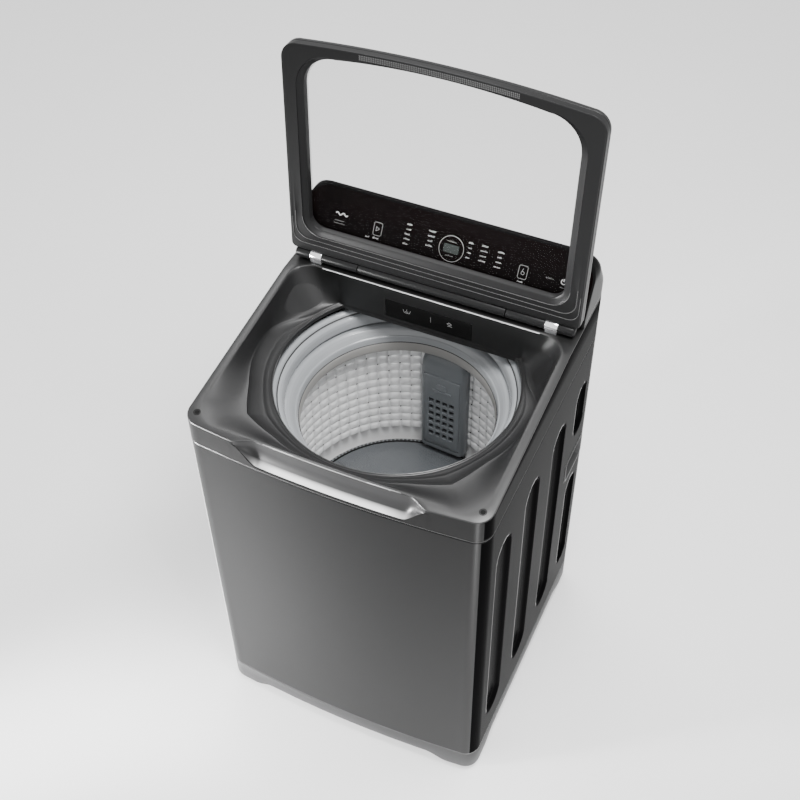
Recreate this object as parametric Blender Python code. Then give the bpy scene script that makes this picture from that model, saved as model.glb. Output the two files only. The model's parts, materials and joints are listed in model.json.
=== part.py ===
"""A top load washing machine, built from its separate pieces.

Metres, +Z up. The front faces -Y, +X is the machine's right as seen from the front.
The origin is on the floor, in the middle of the footprint. The lid stands open.
"""
import math

import bmesh
import bpy
from mathutils import Matrix, Vector

# Footprint of the cabinet. The front is bowed outwards by FRONT_BOW in the middle.
WIDTH = 0.540
DEPTH = 0.541
FRONT_BOW = 0.012
CORNER_RADIUS = 0.030
SHEET = 0.0015
GAP = 0.0003

# Heights of the cabinet's seams.
FOOT_BOTTOM = 0.010
SKIRT_BOTTOM = 0.026
CABINET_BOTTOM = 0.062
CABINET_TOP = 0.7382
COVER_BOTTOM = 0.7388
COVER_FRONT_TOP = 0.786
COVER_DECK = 0.830
COVER_SLOPE = math.radians(7.0)
COVER_WALL = 0.003

# Wash axis, and the radii of what is turned about it.
AXIS_Y = -0.016
MOUTH_RADIUS = 0.2115
MOUTH_BOTTOM = 0.748
BACK_WALL_Y = 0.115
BASKET_RADIUS = 0.207
BASKET_FLOOR = 0.3597
BASKET_TOP = 0.6545
TUB_BOTTOM = 0.335
TUB_TOP = 0.698

# The lid: its hinge axis runs along X, and LID_REST is its tilt while it stands open.
HINGE_Y = 0.129
HINGE_Z = 0.842
LID_REST = math.radians(-93.3)
LID_LENGTH = 0.409
LID_START = 0.0108
LID_LOW = -0.006
LID_HIGH = 0.016
GLASS_SEAT = 0.0105
GLASS_INSET = 0.008
LID_STATIONS = (-0.16, -0.08, 0.0, 0.08, 0.16)
# The lid's opening: (half width, front y, rear y, front corner radius, rear corner radius).
LID_OPENING = (0.2335, -0.393, -0.058, 0.058, 0.025)
LID_OPENING_FLARE = (0.2455, -0.3975, -0.046, 0.064, 0.035)
BARREL_RADIUS = 0.0098
SLEEVE_SPAN = (0.2105, 0.2325)
PIN_RADIUS = 0.004

# The console behind the lid. Its front slopes from PANEL_FOOT up to PANEL_HEAD (y, z).
CONSOLE_TOP = 0.948
CONSOLE_END_RADIUS = 0.045
CONSOLE_RIDGE = 0.2115
PANEL_FOOT = (0.150, 0.850)
PANEL_HEAD = (0.2045, 0.945)
PANEL_THICKNESS = 0.0028
# Middle and half size of the display, across the panel and up its slope.
DISPLAY_PLACE = (0.0155, 0.0580)
DISPLAY_HALF = (0.0140, 0.0075)

# The drive hangs below the tub: gearcase on the wash axis, motor beside it.
MOTOR_X = 0.140
BIG_GROOVE = 0.050
SMALL_GROOVE = 0.020
BELT_LOW = 0.1815
BELT_HIGH = 0.1905
BELT_THICKNESS = 0.005
BELT_CLEARANCE = 0.001

# Suspension rods stand at these distances from the wash axis.
ROD_X = 0.205
ROD_Y = 0.200
LUG_BOTTOM = 0.400
ROD_CUP_TOP = 0.308

# Pressed grooves in each side: (low y, high y, low z, high z), and the handle between them.
SIDE_GROOVES = (
    (-0.216, -0.152, 0.130, 0.650),
    (-0.084, -0.020, 0.130, 0.650),
    (0.050, 0.114, 0.130, 0.650),
    (0.172, 0.222, 0.130, 0.396),
    (0.172, 0.222, 0.531, 0.652),
)
GROOVE_DEPTH = 0.008
HANDLE = (0.152, 0.241, 0.427, 0.480)
HANDLE_DEPTH = 0.026

FILTER_TURN = math.radians(-3.6)
FILTER_HALF = 0.0475
FILTER_LOW = 0.388
FILTER_HIGH = 0.644

# Fittings on the back, as (x, z).
DRAIN_PLACE = (-0.165, 0.110)
GLAND_PLACE = (0.170, 0.690)
INLET_PLACE = (-0.175, 0.785)
RETURN_X = 0.215

# Where the outline has its stations: along the front and rear (x), and along the sides (y).
FRONT_STATIONS = (-0.205, -0.168, -0.148, -0.100, -0.050, 0.0, 0.050, 0.100, 0.148, 0.168, 0.205)
SIDE_STATIONS = (-0.185, -0.120, -0.055, 0.0, 0.050, 0.090, 0.130, 0.165, 0.198)
REAR_STATIONS = (0.190, 0.120, 0.060, 0.0, -0.060, -0.120, -0.190)
STRAIGHT = WIDTH / 2 - CORNER_RADIUS
ARC_STEPS = 4
RING_SEGMENTS = 40

# Matrices that lay a flat outline upright: (y, z) extruded along X, and (x, z) along Y.
ALONG_X = Matrix(((0, 0, 1, 0), (1, 0, 0, 0), (0, 1, 0, 0), (0, 0, 0, 1)))
ALONG_Y = Matrix(((1, 0, 0, 0), (0, 0, 1, 0), (0, 1, 0, 0), (0, 0, 0, 1)))


def clear_scene():
    for old in list(bpy.data.objects):
        bpy.data.objects.remove(old, do_unlink=True)


def make_material(name, colour, roughness, metallic=0.0, alpha=1.0):
    material = bpy.data.materials.new(name)
    material.use_nodes = True
    shader = material.node_tree.nodes["Principled BSDF"]
    shader.inputs["Base Color"].default_value = (*colour, 1.0)
    shader.inputs["Roughness"].default_value = roughness
    shader.inputs["Metallic"].default_value = metallic
    shader.inputs["Alpha"].default_value = alpha
    return material


def add_object(name, shape, look, parent=None, location=(0, 0, 0), rotation=(0, 0, 0), smooth=None):
    """Turn a bmesh into a named object. look is (colour, roughness, metallic, alpha)."""
    bmesh.ops.recalc_face_normals(shape, faces=shape.faces)
    mesh = bpy.data.meshes.new(name)
    shape.to_mesh(mesh)
    shape.free()
    mesh.materials.append(make_material(name, *look))
    if smooth:
        mesh.shade_smooth()
        mesh.set_sharp_from_angle(angle=math.radians(smooth))
    piece = bpy.data.objects.new(name, mesh)
    bpy.context.scene.collection.objects.link(piece)
    piece.parent = parent
    piece.location = location
    piece.rotation_euler = rotation
    return piece


def add_empty(name, location, rotation=(0, 0, 0), parent=None):
    empty = bpy.data.objects.new(name, None)
    bpy.context.scene.collection.objects.link(empty)
    empty.parent = parent
    empty.location = location
    empty.rotation_euler = rotation
    return empty


def combine(piece, helper_name, helper_shape, operation):
    """Add or cut a hidden helper shape, which sits in the piece's own coordinates."""
    helper = add_object(helper_name, helper_shape, ((0.8, 0.2, 0.1), 0.5))
    helper.parent = piece.parent
    helper.location = piece.location
    helper.rotation_euler = piece.rotation_euler
    helper.hide_render = True
    helper.display_type = "WIRE"
    modifier = piece.modifiers.new(helper_name, "BOOLEAN")
    modifier.operation = operation
    modifier.solver = "EXACT"
    modifier.object = helper


def skin(shape, loops, ring=False):
    """Skin equal-length loops in order. A ring joins the last to the first, else both ends are capped."""
    rows = [[shape.verts.new(point) for point in loop] for loop in loops]
    pairs = list(zip(rows, rows[1:]))
    if ring:
        pairs.append((rows[-1], rows[0]))
    count = len(rows[0])
    for near, far in pairs:
        for index in range(count):
            following = (index + 1) % count
            shape.faces.new((near[index], near[following], far[following], far[index]))
    if not ring:
        shape.faces.new(reversed(rows[0]))
        shape.faces.new(rows[-1])
    return shape


def add_prism(shape, outline, low, high, matrix=None):
    """Extrude a flat (x, y) outline between two heights, into an existing bmesh."""
    matrix = matrix or Matrix.Identity(4)
    loops = [[matrix @ Vector((x, y, level)) for x, y in outline] for level in (low, high)]
    skin(shape, loops)
    return shape


def add_box(shape, low, high):
    corners = ((low[0], low[1]), (high[0], low[1]), (high[0], high[1]), (low[0], high[1]))
    return add_prism(shape, corners, low[2], high[2])


def circle(radius, segments, centre=(0.0, 0.0)):
    step = 2 * math.pi / segments
    return [(centre[0] + radius * math.cos(i * step), centre[1] + radius * math.sin(i * step))
            for i in range(segments)]


def turned(profile, segments):
    """Turn (radius, height) points about Z. Ends on the axis make a solid, otherwise a ring."""
    shape = bmesh.new()
    solid = profile[0][0] == 0.0
    turning = profile[1:-1] if solid else profile
    loops = [[(x, y, height) for x, y in circle(radius, segments)] for radius, height in turning]
    if not solid:
        return skin(shape, loops, ring=True)
    rows = [[shape.verts.new(point) for point in loop] for loop in loops]
    for near, far in zip(rows, rows[1:]):
        for index in range(segments):
            following = (index + 1) % segments
            shape.faces.new((near[index], near[following], far[following], far[index]))
    for row, (_, height) in ((rows[0], profile[0]), (rows[-1], profile[-1])):
        pole = shape.verts.new((0, 0, height))
        for index in range(segments):
            shape.faces.new((row[index], row[(index + 1) % segments], pole))
    return shape


def open_box(low, high, wall, open_axis, open_sign):
    """A box with walls on five sides: the open side is given by its axis and sign."""
    shape = bmesh.new()
    add_box(shape, low, high)
    shape.faces.ensure_lookup_table()
    bmesh.ops.recalc_face_normals(shape, faces=shape.faces)
    mouth = max(shape.faces, key=lambda face: face.normal[open_axis] * open_sign)
    bmesh.ops.inset_region(shape, faces=[mouth], thickness=wall)
    inward = Vector((0, 0, 0))
    inward[open_axis] = -open_sign * (high[open_axis] - low[open_axis] - wall)
    pushed = bmesh.ops.extrude_face_region(shape, geom=[mouth])
    moved = [item for item in pushed["geom"] if isinstance(item, bmesh.types.BMVert)]
    bmesh.ops.translate(shape, verts=moved, vec=inward)
    bmesh.ops.delete(shape, geom=[mouth], context="FACES_ONLY")
    return shape


def arc(centre, radius, start, stop, steps):
    angles = [math.radians(start + (stop - start) * i / steps) for i in range(steps + 1)]
    return [(centre[0] + radius * math.cos(a), centre[1] + radius * math.sin(a)) for a in angles]


def rounded_outline(half, front, rear, front_radius, rear_radius, bow=0.0, arc_steps=ARC_STEPS,
                    across=FRONT_STATIONS, along=SIDE_STATIONS, behind=REAR_STATIONS):
    """A rounded rectangle, anticlockwise, whose front edge is bowed. Point counts never vary.

    across, along and behind are stations in the cabinet's own outline, and are scaled to fit.
    """
    straight = half - front_radius
    rear_straight = half - rear_radius
    low = front + front_radius
    high = rear - rear_radius
    side = [low + (y + STRAIGHT) / (2 * STRAIGHT) * (high - low) for y in along]
    points = []
    for x in across:
        place = x / STRAIGHT
        points.append((place * straight, front - bow * (1 - place * place)))
    points += arc((straight, low), front_radius, -90, 0, arc_steps)
    points += [(half, y) for y in side]
    points += arc((rear_straight, high), rear_radius, 0, 90, arc_steps)
    points += [(x / STRAIGHT * rear_straight, rear) for x in behind]
    points += arc((-rear_straight, high), rear_radius, 90, 180, arc_steps)
    points += [(-half, y) for y in reversed(side)]
    points += arc((-straight, low), front_radius, 180, 270, arc_steps)
    return points


def cabinet_outline(inset=0.0):
    half = WIDTH / 2 - inset
    reach = DEPTH / 2 - inset
    return rounded_outline(half, -reach, reach, CORNER_RADIUS - inset, CORNER_RADIUS - inset, FRONT_BOW)


# ---------------------------------------------------------------- looks of the pieces
GRAPHITE = ((0.105, 0.105, 0.110), 0.32, 0.85)
COVER_PLASTIC = ((0.055, 0.055, 0.058), 0.38, 0.1)
DARK_PLASTIC = ((0.022, 0.022, 0.024), 0.42)
GLOSS_BLACK = ((0.006, 0.006, 0.007), 0.08)
CHROME = ((0.82, 0.82, 0.83), 0.08, 1.0)
STEEL = ((0.60, 0.60, 0.61), 0.28, 1.0)
GALVANISED = ((0.48, 0.50, 0.52), 0.45, 0.9)
RING_GREY = ((0.42, 0.45, 0.47), 0.35)
PULSATOR_GREY = ((0.12, 0.135, 0.15), 0.35)
FILTER_GREY = ((0.10, 0.115, 0.125), 0.40)
WHITE_PLASTIC = ((0.62, 0.63, 0.62), 0.45)
RUBBER = ((0.015, 0.015, 0.015), 0.85)
GLASS = ((0.85, 0.88, 0.88), 0.05, 0.0, 0.35)
DISPLAY = ((0.10, 0.12, 0.11), 0.15)


# ---------------------------------------------------------------- cabinet
def groove_outline(low_y, high_y, low_z, high_z, grow=0.0):
    """Upright slot with half-round ends, in (y, z)."""
    middle = (low_y + high_y) / 2
    radius = (high_y - low_y) / 2
    upper = arc((middle, high_z - radius), radius + grow, 0, 180, 6)
    lower = arc((middle, low_z + radius), radius + grow, 180, 360, 6)
    return upper + lower


def corner_plate(sign_x, rear):
    """Welded plate in a top corner that a suspension rod hangs from."""
    wall = WIDTH / 2 - SHEET / 2
    back = DEPTH / 2 - SHEET / 2
    if rear:
        points = [(wall, 0.150), (wall, STRAIGHT), (STRAIGHT, back), (0.2165, back),
                  (0.2165, 0.262), (0.180, 0.210), (0.180, 0.165), (0.210, 0.150)]
    else:
        points = [(wall, -0.185), (0.200, -0.185), (0.180, -0.200), (0.180, -0.235),
                  (0.190, -back), (STRAIGHT, -back), (wall, -STRAIGHT)]
    return [(sign_x * x, y) for x, y in points]


def rod_places():
    """Name and (x, y) of each suspension rod."""
    return [(f"{'front' if sy < 0 else 'rear'}_{'left' if sx < 0 else 'right'}",
             sx * ROD_X, AXIS_Y + sy * ROD_Y) for sy in (-1, 1) for sx in (-1, 1)]


def build_cabinet():
    outer = cabinet_outline()
    inner = cabinet_outline(SHEET)
    # The wrap is open behind: leave out the stations of the rear edge.
    rear_start = len(FRONT_STATIONS) + len(SIDE_STATIONS) + 2 * (ARC_STEPS + 1)
    rear_stop = rear_start + len(REAR_STATIONS)
    def wrap_path(outline, depth):
        path = outline[rear_stop:] + outline[:rear_start]
        return [(-RETURN_X, depth)] + path + [(RETURN_X, depth)]

    outer_path = wrap_path(outer, DEPTH / 2)
    inner_path = wrap_path(inner, DEPTH / 2 - SHEET)
    wrap = bmesh.new()
    add_prism(wrap, outer_path + inner_path[::-1], CABINET_BOTTOM, CABINET_TOP)
    cabinet = add_object("cabinet_wrap", wrap, GRAPHITE, smooth=35)

    added = bmesh.new()
    cut = bmesh.new()
    half = WIDTH / 2
    for sign in (-1, 1):
        for groove in SIDE_GROOVES:
            ends = sorted((sign * (half - GROOVE_DEPTH - SHEET), sign * (half - SHEET / 2)))
            add_prism(added, groove_outline(*groove, grow=SHEET), *ends, ALONG_X)
            ends = sorted((sign * (half - GROOVE_DEPTH), sign * (half + 0.010)))
            add_prism(cut, groove_outline(*groove), *ends, ALONG_X)
        low_y, high_y, low_z, high_z = HANDLE
        ends = sorted((sign * (half - 0.010), sign * (half + 0.010)))
        add_box(cut, (ends[0], low_y, low_z), (ends[1], high_y, high_z))
        for rear in (False, True):
            plate = corner_plate(sign, rear)
            add_prism(added, plate if sign > 0 else plate[::-1], 0.7125, 0.7155)
    for _, x, y in rod_places():
        add_prism(cut, circle(0.0055, 12, (x, y)), 0.705, 0.722)
    combine(cabinet, "pressed_pockets", added, "UNION")
    combine(cabinet, "groove_cuts", cut, "DIFFERENCE")

    for side, sign in (("left", -1), ("right", 1)):
        low_y, high_y, low_z, high_z = HANDLE
        ends = sorted((sign * half, sign * (half - HANDLE_DEPTH)))
        cup = open_box((ends[0], low_y + GAP, low_z + GAP), (ends[1], high_y - GAP, high_z - GAP),
                       0.002, 0, sign)
        add_object(f"handle_cup_{side}", cup, DARK_PLASTIC)


def build_rear():
    panel = bmesh.new()
    half = RETURN_X - 0.0005
    add_box(panel, (-half, DEPTH / 2 - SHEET, CABINET_BOTTOM + GAP), (half, DEPTH / 2, CABINET_TOP - GAP))
    rear = add_object("rear_panel", panel, GALVANISED)
    holes = bmesh.new()
    add_prism(holes, circle(0.0155, 16, DRAIN_PLACE), 0.250, 0.290, ALONG_Y)
    add_prism(holes, circle(0.0082, 12, GLAND_PLACE), 0.250, 0.290, ALONG_Y)
    combine(rear, "rear_holes", holes, "DIFFERENCE")

    lift = math.radians(-90)
    back = DEPTH / 2
    reach = DEPTH / 2 + FRONT_BOW
    drain = [(0.0, 0.236), (0.0140, 0.236), (0.0148, 0.240), (0.0148, back + GAP), (0.024, back + GAP),
             (0.024, back + 0.003), (0.0150, back + 0.004), (0.0140, reach), (0.0110, reach),
             (0.0110, reach - 0.0035), (0.0, reach - 0.0035)]
    add_object("drain_outlet", turned(drain, 16), DARK_PLASTIC, location=(DRAIN_PLACE[0], 0, DRAIN_PLACE[1]),
               rotation=(lift, 0, 0), smooth=35)
    gland = [(0.0, 0.255), (0.0075, 0.255), (0.0075, back + GAP), (0.0125, back + GAP), (0.0125, back + 0.003),
             (0.0080, back + 0.004), (0.0062, back + 0.011), (0.0, back + 0.011)]
    add_object("cord_gland", turned(gland, 12), DARK_PLASTIC, location=(GLAND_PLACE[0], 0, GLAND_PLACE[1]),
               rotation=(lift, 0, 0), smooth=35)
    cover = bmesh.new()
    add_prism(cover, rounded_outline(0.115, -0.145, 0.145, 0.012, 0.012, arc_steps=2, across=(0.0,),
                                     along=(0.0,), behind=(0.0,)), 0.0, 0.003)
    add_object("rear_service_cover", cover, GALVANISED, location=(0, back + GAP, 0.32),
               rotation=(math.radians(-90), 0, 0))


def build_base():
    base = bmesh.new()
    add_prism(base, cabinet_outline(), FOOT_BOTTOM, CABINET_BOTTOM - GAP)
    frame = add_object("base_frame", base, DARK_PLASTIC, smooth=35)
    reach = 0.40
    foot = 0.185
    lift = bmesh.new()
    plus = [(-foot, -reach), (foot, -reach), (foot, -foot), (reach, -foot), (reach, foot), (foot, foot),
            (foot, reach), (-foot, reach), (-foot, foot), (-reach, foot), (-reach, -foot), (-foot, -foot)]
    add_prism(lift, plus, FOOT_BOTTOM - 0.005, SKIRT_BOTTOM)
    combine(frame, "skirt_lift", lift, "DIFFERENCE")
    pocket = bmesh.new()
    add_prism(pocket, cabinet_outline(0.005), 0.031, CABINET_BOTTOM + 0.010)
    combine(frame, "tray_pocket", pocket, "DIFFERENCE")
    bores = bmesh.new()
    for _, x, y in foot_places():
        add_prism(bores, circle(0.0068, 12, (x, y)), 0.0, 0.050)
    combine(frame, "foot_bores", bores, "DIFFERENCE")

    profile = [(0.0, 0.0), (0.0195, 0.0), (0.0210, 0.0015), (0.0210, 0.0075), (0.0180, 0.0093),
               (0.0060, 0.0093), (0.0060, 0.044), (0.0, 0.044)]
    for name, x, y in foot_places():
        add_object(f"foot_{name}", turned(profile, 12), RUBBER, location=(x, y, 0), smooth=35)


def foot_places():
    return [(f"{'front' if sy < 0 else 'rear'}_{'left' if sx < 0 else 'right'}", sx * 0.225, sy * 0.228)
            for sy in (-1, 1) for sx in (-1, 1)]


# ---------------------------------------------------------------- top cover
def cover_top(y):
    """Height of the cover's upper edge: sloped down to the front, level behind."""
    return min(COVER_FRONT_TOP + (y + DEPTH / 2) * math.tan(COVER_SLOPE), COVER_DECK)


def smoothstep(low, high, value):
    part = min(max((value - low) / (high - low), 0.0), 1.0)
    return part * part * (3 - 2 * part)


def scoop(x, y, z):
    """How far the finger scoop sets the skirt's front back at a place."""
    if y > -DEPTH / 2 + CORNER_RADIUS:
        return 0.0
    return 0.017 * (1 - smoothstep(0.146, 0.170, abs(x))) * smoothstep(0.742, 0.776, z)


def skirt_loop(inset, height):
    """Loop of the skirt at a height, which may be a number or a function of y."""
    loop = []
    for x, y in cabinet_outline(inset):
        z = height(y) if callable(height) else height
        loop.append((x, y + scoop(x, y, z), z))
    return loop


def ray_length(angle, half, front, rear, front_radius, rear_radius):
    """Distance from the wash axis to a rounded rectangle in one direction."""
    across, along = math.cos(angle), math.sin(angle)
    reach = half / max(abs(across), 1e-9)
    edge = rear - AXIS_Y if along > 0 else AXIS_Y - front
    reach = min(reach, edge / max(abs(along), 1e-9))
    x, y = abs(across * reach), AXIS_Y + along * reach
    radius = rear_radius if along > 0 else front_radius
    centre_x = half - radius
    centre_y = (rear - radius if along > 0 else front + radius) - AXIS_Y
    beyond = y - AXIS_Y > centre_y if along > 0 else y - AXIS_Y < centre_y
    if x > centre_x and beyond:
        toward = abs(across) * centre_x + along * centre_y
        room = toward * toward - (centre_x ** 2 + centre_y ** 2 - radius ** 2)
        reach = toward + math.sqrt(max(room, 0.0))
    return reach


def funnel_radius(angle):
    """Outer edge of the funnel: round, with a pointed corner at each front corner."""
    off_corner = abs(abs(math.degrees(angle) + 90) - 44)
    point = 0.0145 * max(0.0, 1 - off_corner / 16) ** 1.3
    front = 0.009 * max(0.0, -math.sin(angle)) ** 8
    rear = 0.030 * smoothstep(0.0, 0.41, math.sin(angle))
    return 0.250 + point - front - rear


def ring_loop(angles, radius, wall_y, height):
    """Loop about the wash axis whose rear is cut straight at wall_y."""
    loop = []
    for angle in angles:
        reach = radius(angle) if callable(radius) else radius
        rise = math.sin(angle)
        if rise > 0:
            reach = min(reach, (wall_y - AXIS_Y) / rise)
        z = height(angle) if callable(height) else height
        loop.append((reach * math.cos(angle), AXIS_Y + reach * rise, z))
    return loop


def rim_loop(angles, grow, drop):
    """Loop of the rim's inner edge, where the recess starts."""
    loop = []
    for angle in angles:
        reach = ray_length(angle, 0.254 + grow, -0.2605 - grow / 2, BACK_WALL_Y + grow, 0.045, 0.040)
        x, y = reach * math.cos(angle), AXIS_Y + reach * math.sin(angle)
        loop.append((x, y, cover_top(y) - drop))
    return loop


def funnel_height(angle):
    return 0.775 - 0.016 * smoothstep(-0.2, 0.45, math.sin(angle))


def build_top_cover():
    angles = [math.atan2(y - AXIS_Y, x) for x, y in cabinet_outline()]
    wall = COVER_WALL
    deck_y = BACK_WALL_Y
    loops = [
        skirt_loop(0.0, COVER_BOTTOM),
        skirt_loop(0.0, 0.752),
        skirt_loop(0.0, 0.764),
        skirt_loop(0.0, 0.776),
        skirt_loop(0.0, cover_top),
        rim_loop(angles, 0.0, 0.0015),
        ring_loop(angles, funnel_radius, deck_y, funnel_height),
        ring_loop(angles, MOUTH_RADIUS + 0.004, deck_y - 0.0005, 0.7555),
        ring_loop(angles, MOUTH_RADIUS, deck_y - 0.001, 0.7515),
        ring_loop(angles, MOUTH_RADIUS + 0.0005, deck_y - 0.001, MOUTH_BOTTOM),
        ring_loop(angles, MOUTH_RADIUS + 0.005, deck_y + wall, MOUTH_BOTTOM),
        ring_loop(angles, lambda a: funnel_radius(a) + wall, deck_y + wall + 0.001,
                  lambda a: funnel_height(a) - 0.004),
        rim_loop(angles, wall, 0.0045),
        skirt_loop(wall, lambda y: cover_top(y) - wall),
        skirt_loop(wall, 0.776),
        skirt_loop(wall, 0.757),
        skirt_loop(wall, COVER_BOTTOM),
    ]
    cover = add_object("top_cover", skin(bmesh.new(), loops, ring=True), COVER_PLASTIC, smooth=35)
    cuts = bmesh.new()
    add_box(cuts, (-0.083, 0.100, 0.762), (0.083, 0.1195, 0.802))
    add_prism(cuts, circle(0.0136, 16, INLET_PLACE), 0.260, 0.280, ALONG_Y)
    combine(cover, "cover_cuts", cuts, "DIFFERENCE")

    cap = [(0.0, 0.0), (0.0055, 0.0), (0.0055, 0.0004), (0.0045, 0.0009), (0.0, 0.0009)]
    for side, sign in (("left", -1), ("right", 1)):
        add_object(f"screw_cap_{side}", turned(cap, 10), DARK_PLASTIC, smooth=35,
                   location=(sign * 0.252, -0.2465, cover_top(-0.2465) - 0.0006), rotation=(COVER_SLOPE, 0, 0))

    back = DEPTH / 2
    inlet = [(0.0, 0.215), (0.020, 0.215), (0.020, 0.252), (0.0175, back - wall - GAP), (0.0130, back - wall - GAP),
             (0.0130, back + FRONT_BOW), (0.0095, back + FRONT_BOW), (0.0095, back + FRONT_BOW - 0.0035),
             (0.0, back + FRONT_BOW - 0.0035)]
    add_object("inlet_valve", turned(inlet, 16), WHITE_PLASTIC, location=(INLET_PLACE[0], 0, INLET_PLACE[1]),
               rotation=(math.radians(-90), 0, 0), smooth=35)


# ---------------------------------------------------------------- console
def console_loop(level, inset):
    """Level outline of the console: sloped front, rounded upper ends and a curved back."""
    half = WIDTH / 2 - GAP
    shoulder = CONSOLE_TOP - CONSOLE_END_RADIUS
    if level > shoulder:
        rise = min(level - shoulder, CONSOLE_END_RADIUS)
        half -= CONSOLE_END_RADIUS - math.sqrt(CONSOLE_END_RADIUS ** 2 - rise ** 2)
    slope = (PANEL_HEAD[0] - PANEL_FOOT[0]) / (PANEL_HEAD[1] - PANEL_FOOT[1])
    front = PANEL_FOOT[0] + max(level - PANEL_FOOT[1], 0.0) * slope
    back_low = 0.862
    rear = DEPTH / 2 - GAP
    if level > back_low:
        climb = min((level - back_low) / (CONSOLE_TOP - back_low), 1.0)
        rear = CONSOLE_RIDGE + (rear - CONSOLE_RIDGE) * (1 - climb ** 1.25)
    thickness = rear - front - 2 * inset
    front_radius = min(0.006, thickness * 0.4)
    rear_radius = min(CORNER_RADIUS, thickness * 0.45)
    outline = rounded_outline(half - inset, front + inset, rear - inset, front_radius, rear_radius,
                              arc_steps=3, across=(0.0,), along=(0.0,), behind=(0.0,))
    return [(x, y, level) for x, y in outline]


def build_console():
    wall = 0.003
    low = COVER_DECK + GAP
    levels = [low, PANEL_FOOT[1], 0.876, 0.903, 0.920, 0.932, 0.941, 0.9455, CONSOLE_TOP]
    inner_levels = [level for level in levels if level < CONSOLE_TOP - 2 * wall]
    loops = [console_loop(level - wall / 2 if level > low else low, wall) for level in reversed(inner_levels)]
    loops += [console_loop(level, 0.0) for level in levels]
    add_object("console_body", skin(bmesh.new(), loops), COVER_PLASTIC, smooth=35)

    run = PANEL_HEAD[0] - PANEL_FOOT[0]
    rise = PANEL_HEAD[1] - PANEL_FOOT[1]
    slope_length = math.hypot(run, rise)
    on_slope = add_empty("panel_plane", (0, *PANEL_FOOT), (math.atan2(rise, run), 0, 0))
    panel = bmesh.new()
    add_prism(panel, rounded_outline(0.256, 0.002, slope_length - 0.002, 0.020, 0.038, arc_steps=6,
                                     across=(0.0,), along=(0.0,), behind=(0.0,)), GAP, PANEL_THICKNESS)
    add_object("control_panel", panel, GLOSS_BLACK, parent=on_slope)
    window = bmesh.new()
    half_x, half_y = DISPLAY_HALF
    add_prism(window, rounded_outline(half_x, -half_y, half_y, 0.002, 0.002, arc_steps=2, across=(0.0,),
                                      along=(0.0,), behind=(0.0,)), PANEL_THICKNESS + GAP, 0.0040)
    add_object("display_window", window, DISPLAY, parent=on_slope, location=(*DISPLAY_PLACE, 0))
    board = bmesh.new()
    add_box(board, (-0.100, 0.160, COVER_DECK + GAP), (0.100, 0.235, 0.852))
    add_object("control_board_case", board, WHITE_PLASTIC)


# ---------------------------------------------------------------- lid
def lid_loop(inset, height, opening=None):
    """Loop of the lid, lying flat: the hinge is at y = 0 and the free edge at -LID_LENGTH."""
    if opening is None:
        outline = rounded_outline(WIDTH / 2 - inset, -LID_LENGTH + inset, -LID_START - inset,
                                  max(CORNER_RADIUS - inset, 0.004), 0.010 - inset / 2, FRONT_BOW,
                                  across=LID_STATIONS, along=LID_STATIONS, behind=(0.0,))
    else:
        half, front, rear, front_radius, rear_radius = opening
        outline = rounded_outline(half, front, rear, front_radius, rear_radius, FRONT_BOW,
                                  across=LID_STATIONS, along=LID_STATIONS, behind=(0.0,))
    return [(x, y, height) for x, y in outline]


def mirrored(profile, sign):
    """A profile along the hinge, for the right end (+1) or the left end (-1)."""
    return [(radius, sign * place) for radius, place in profile]


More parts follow.
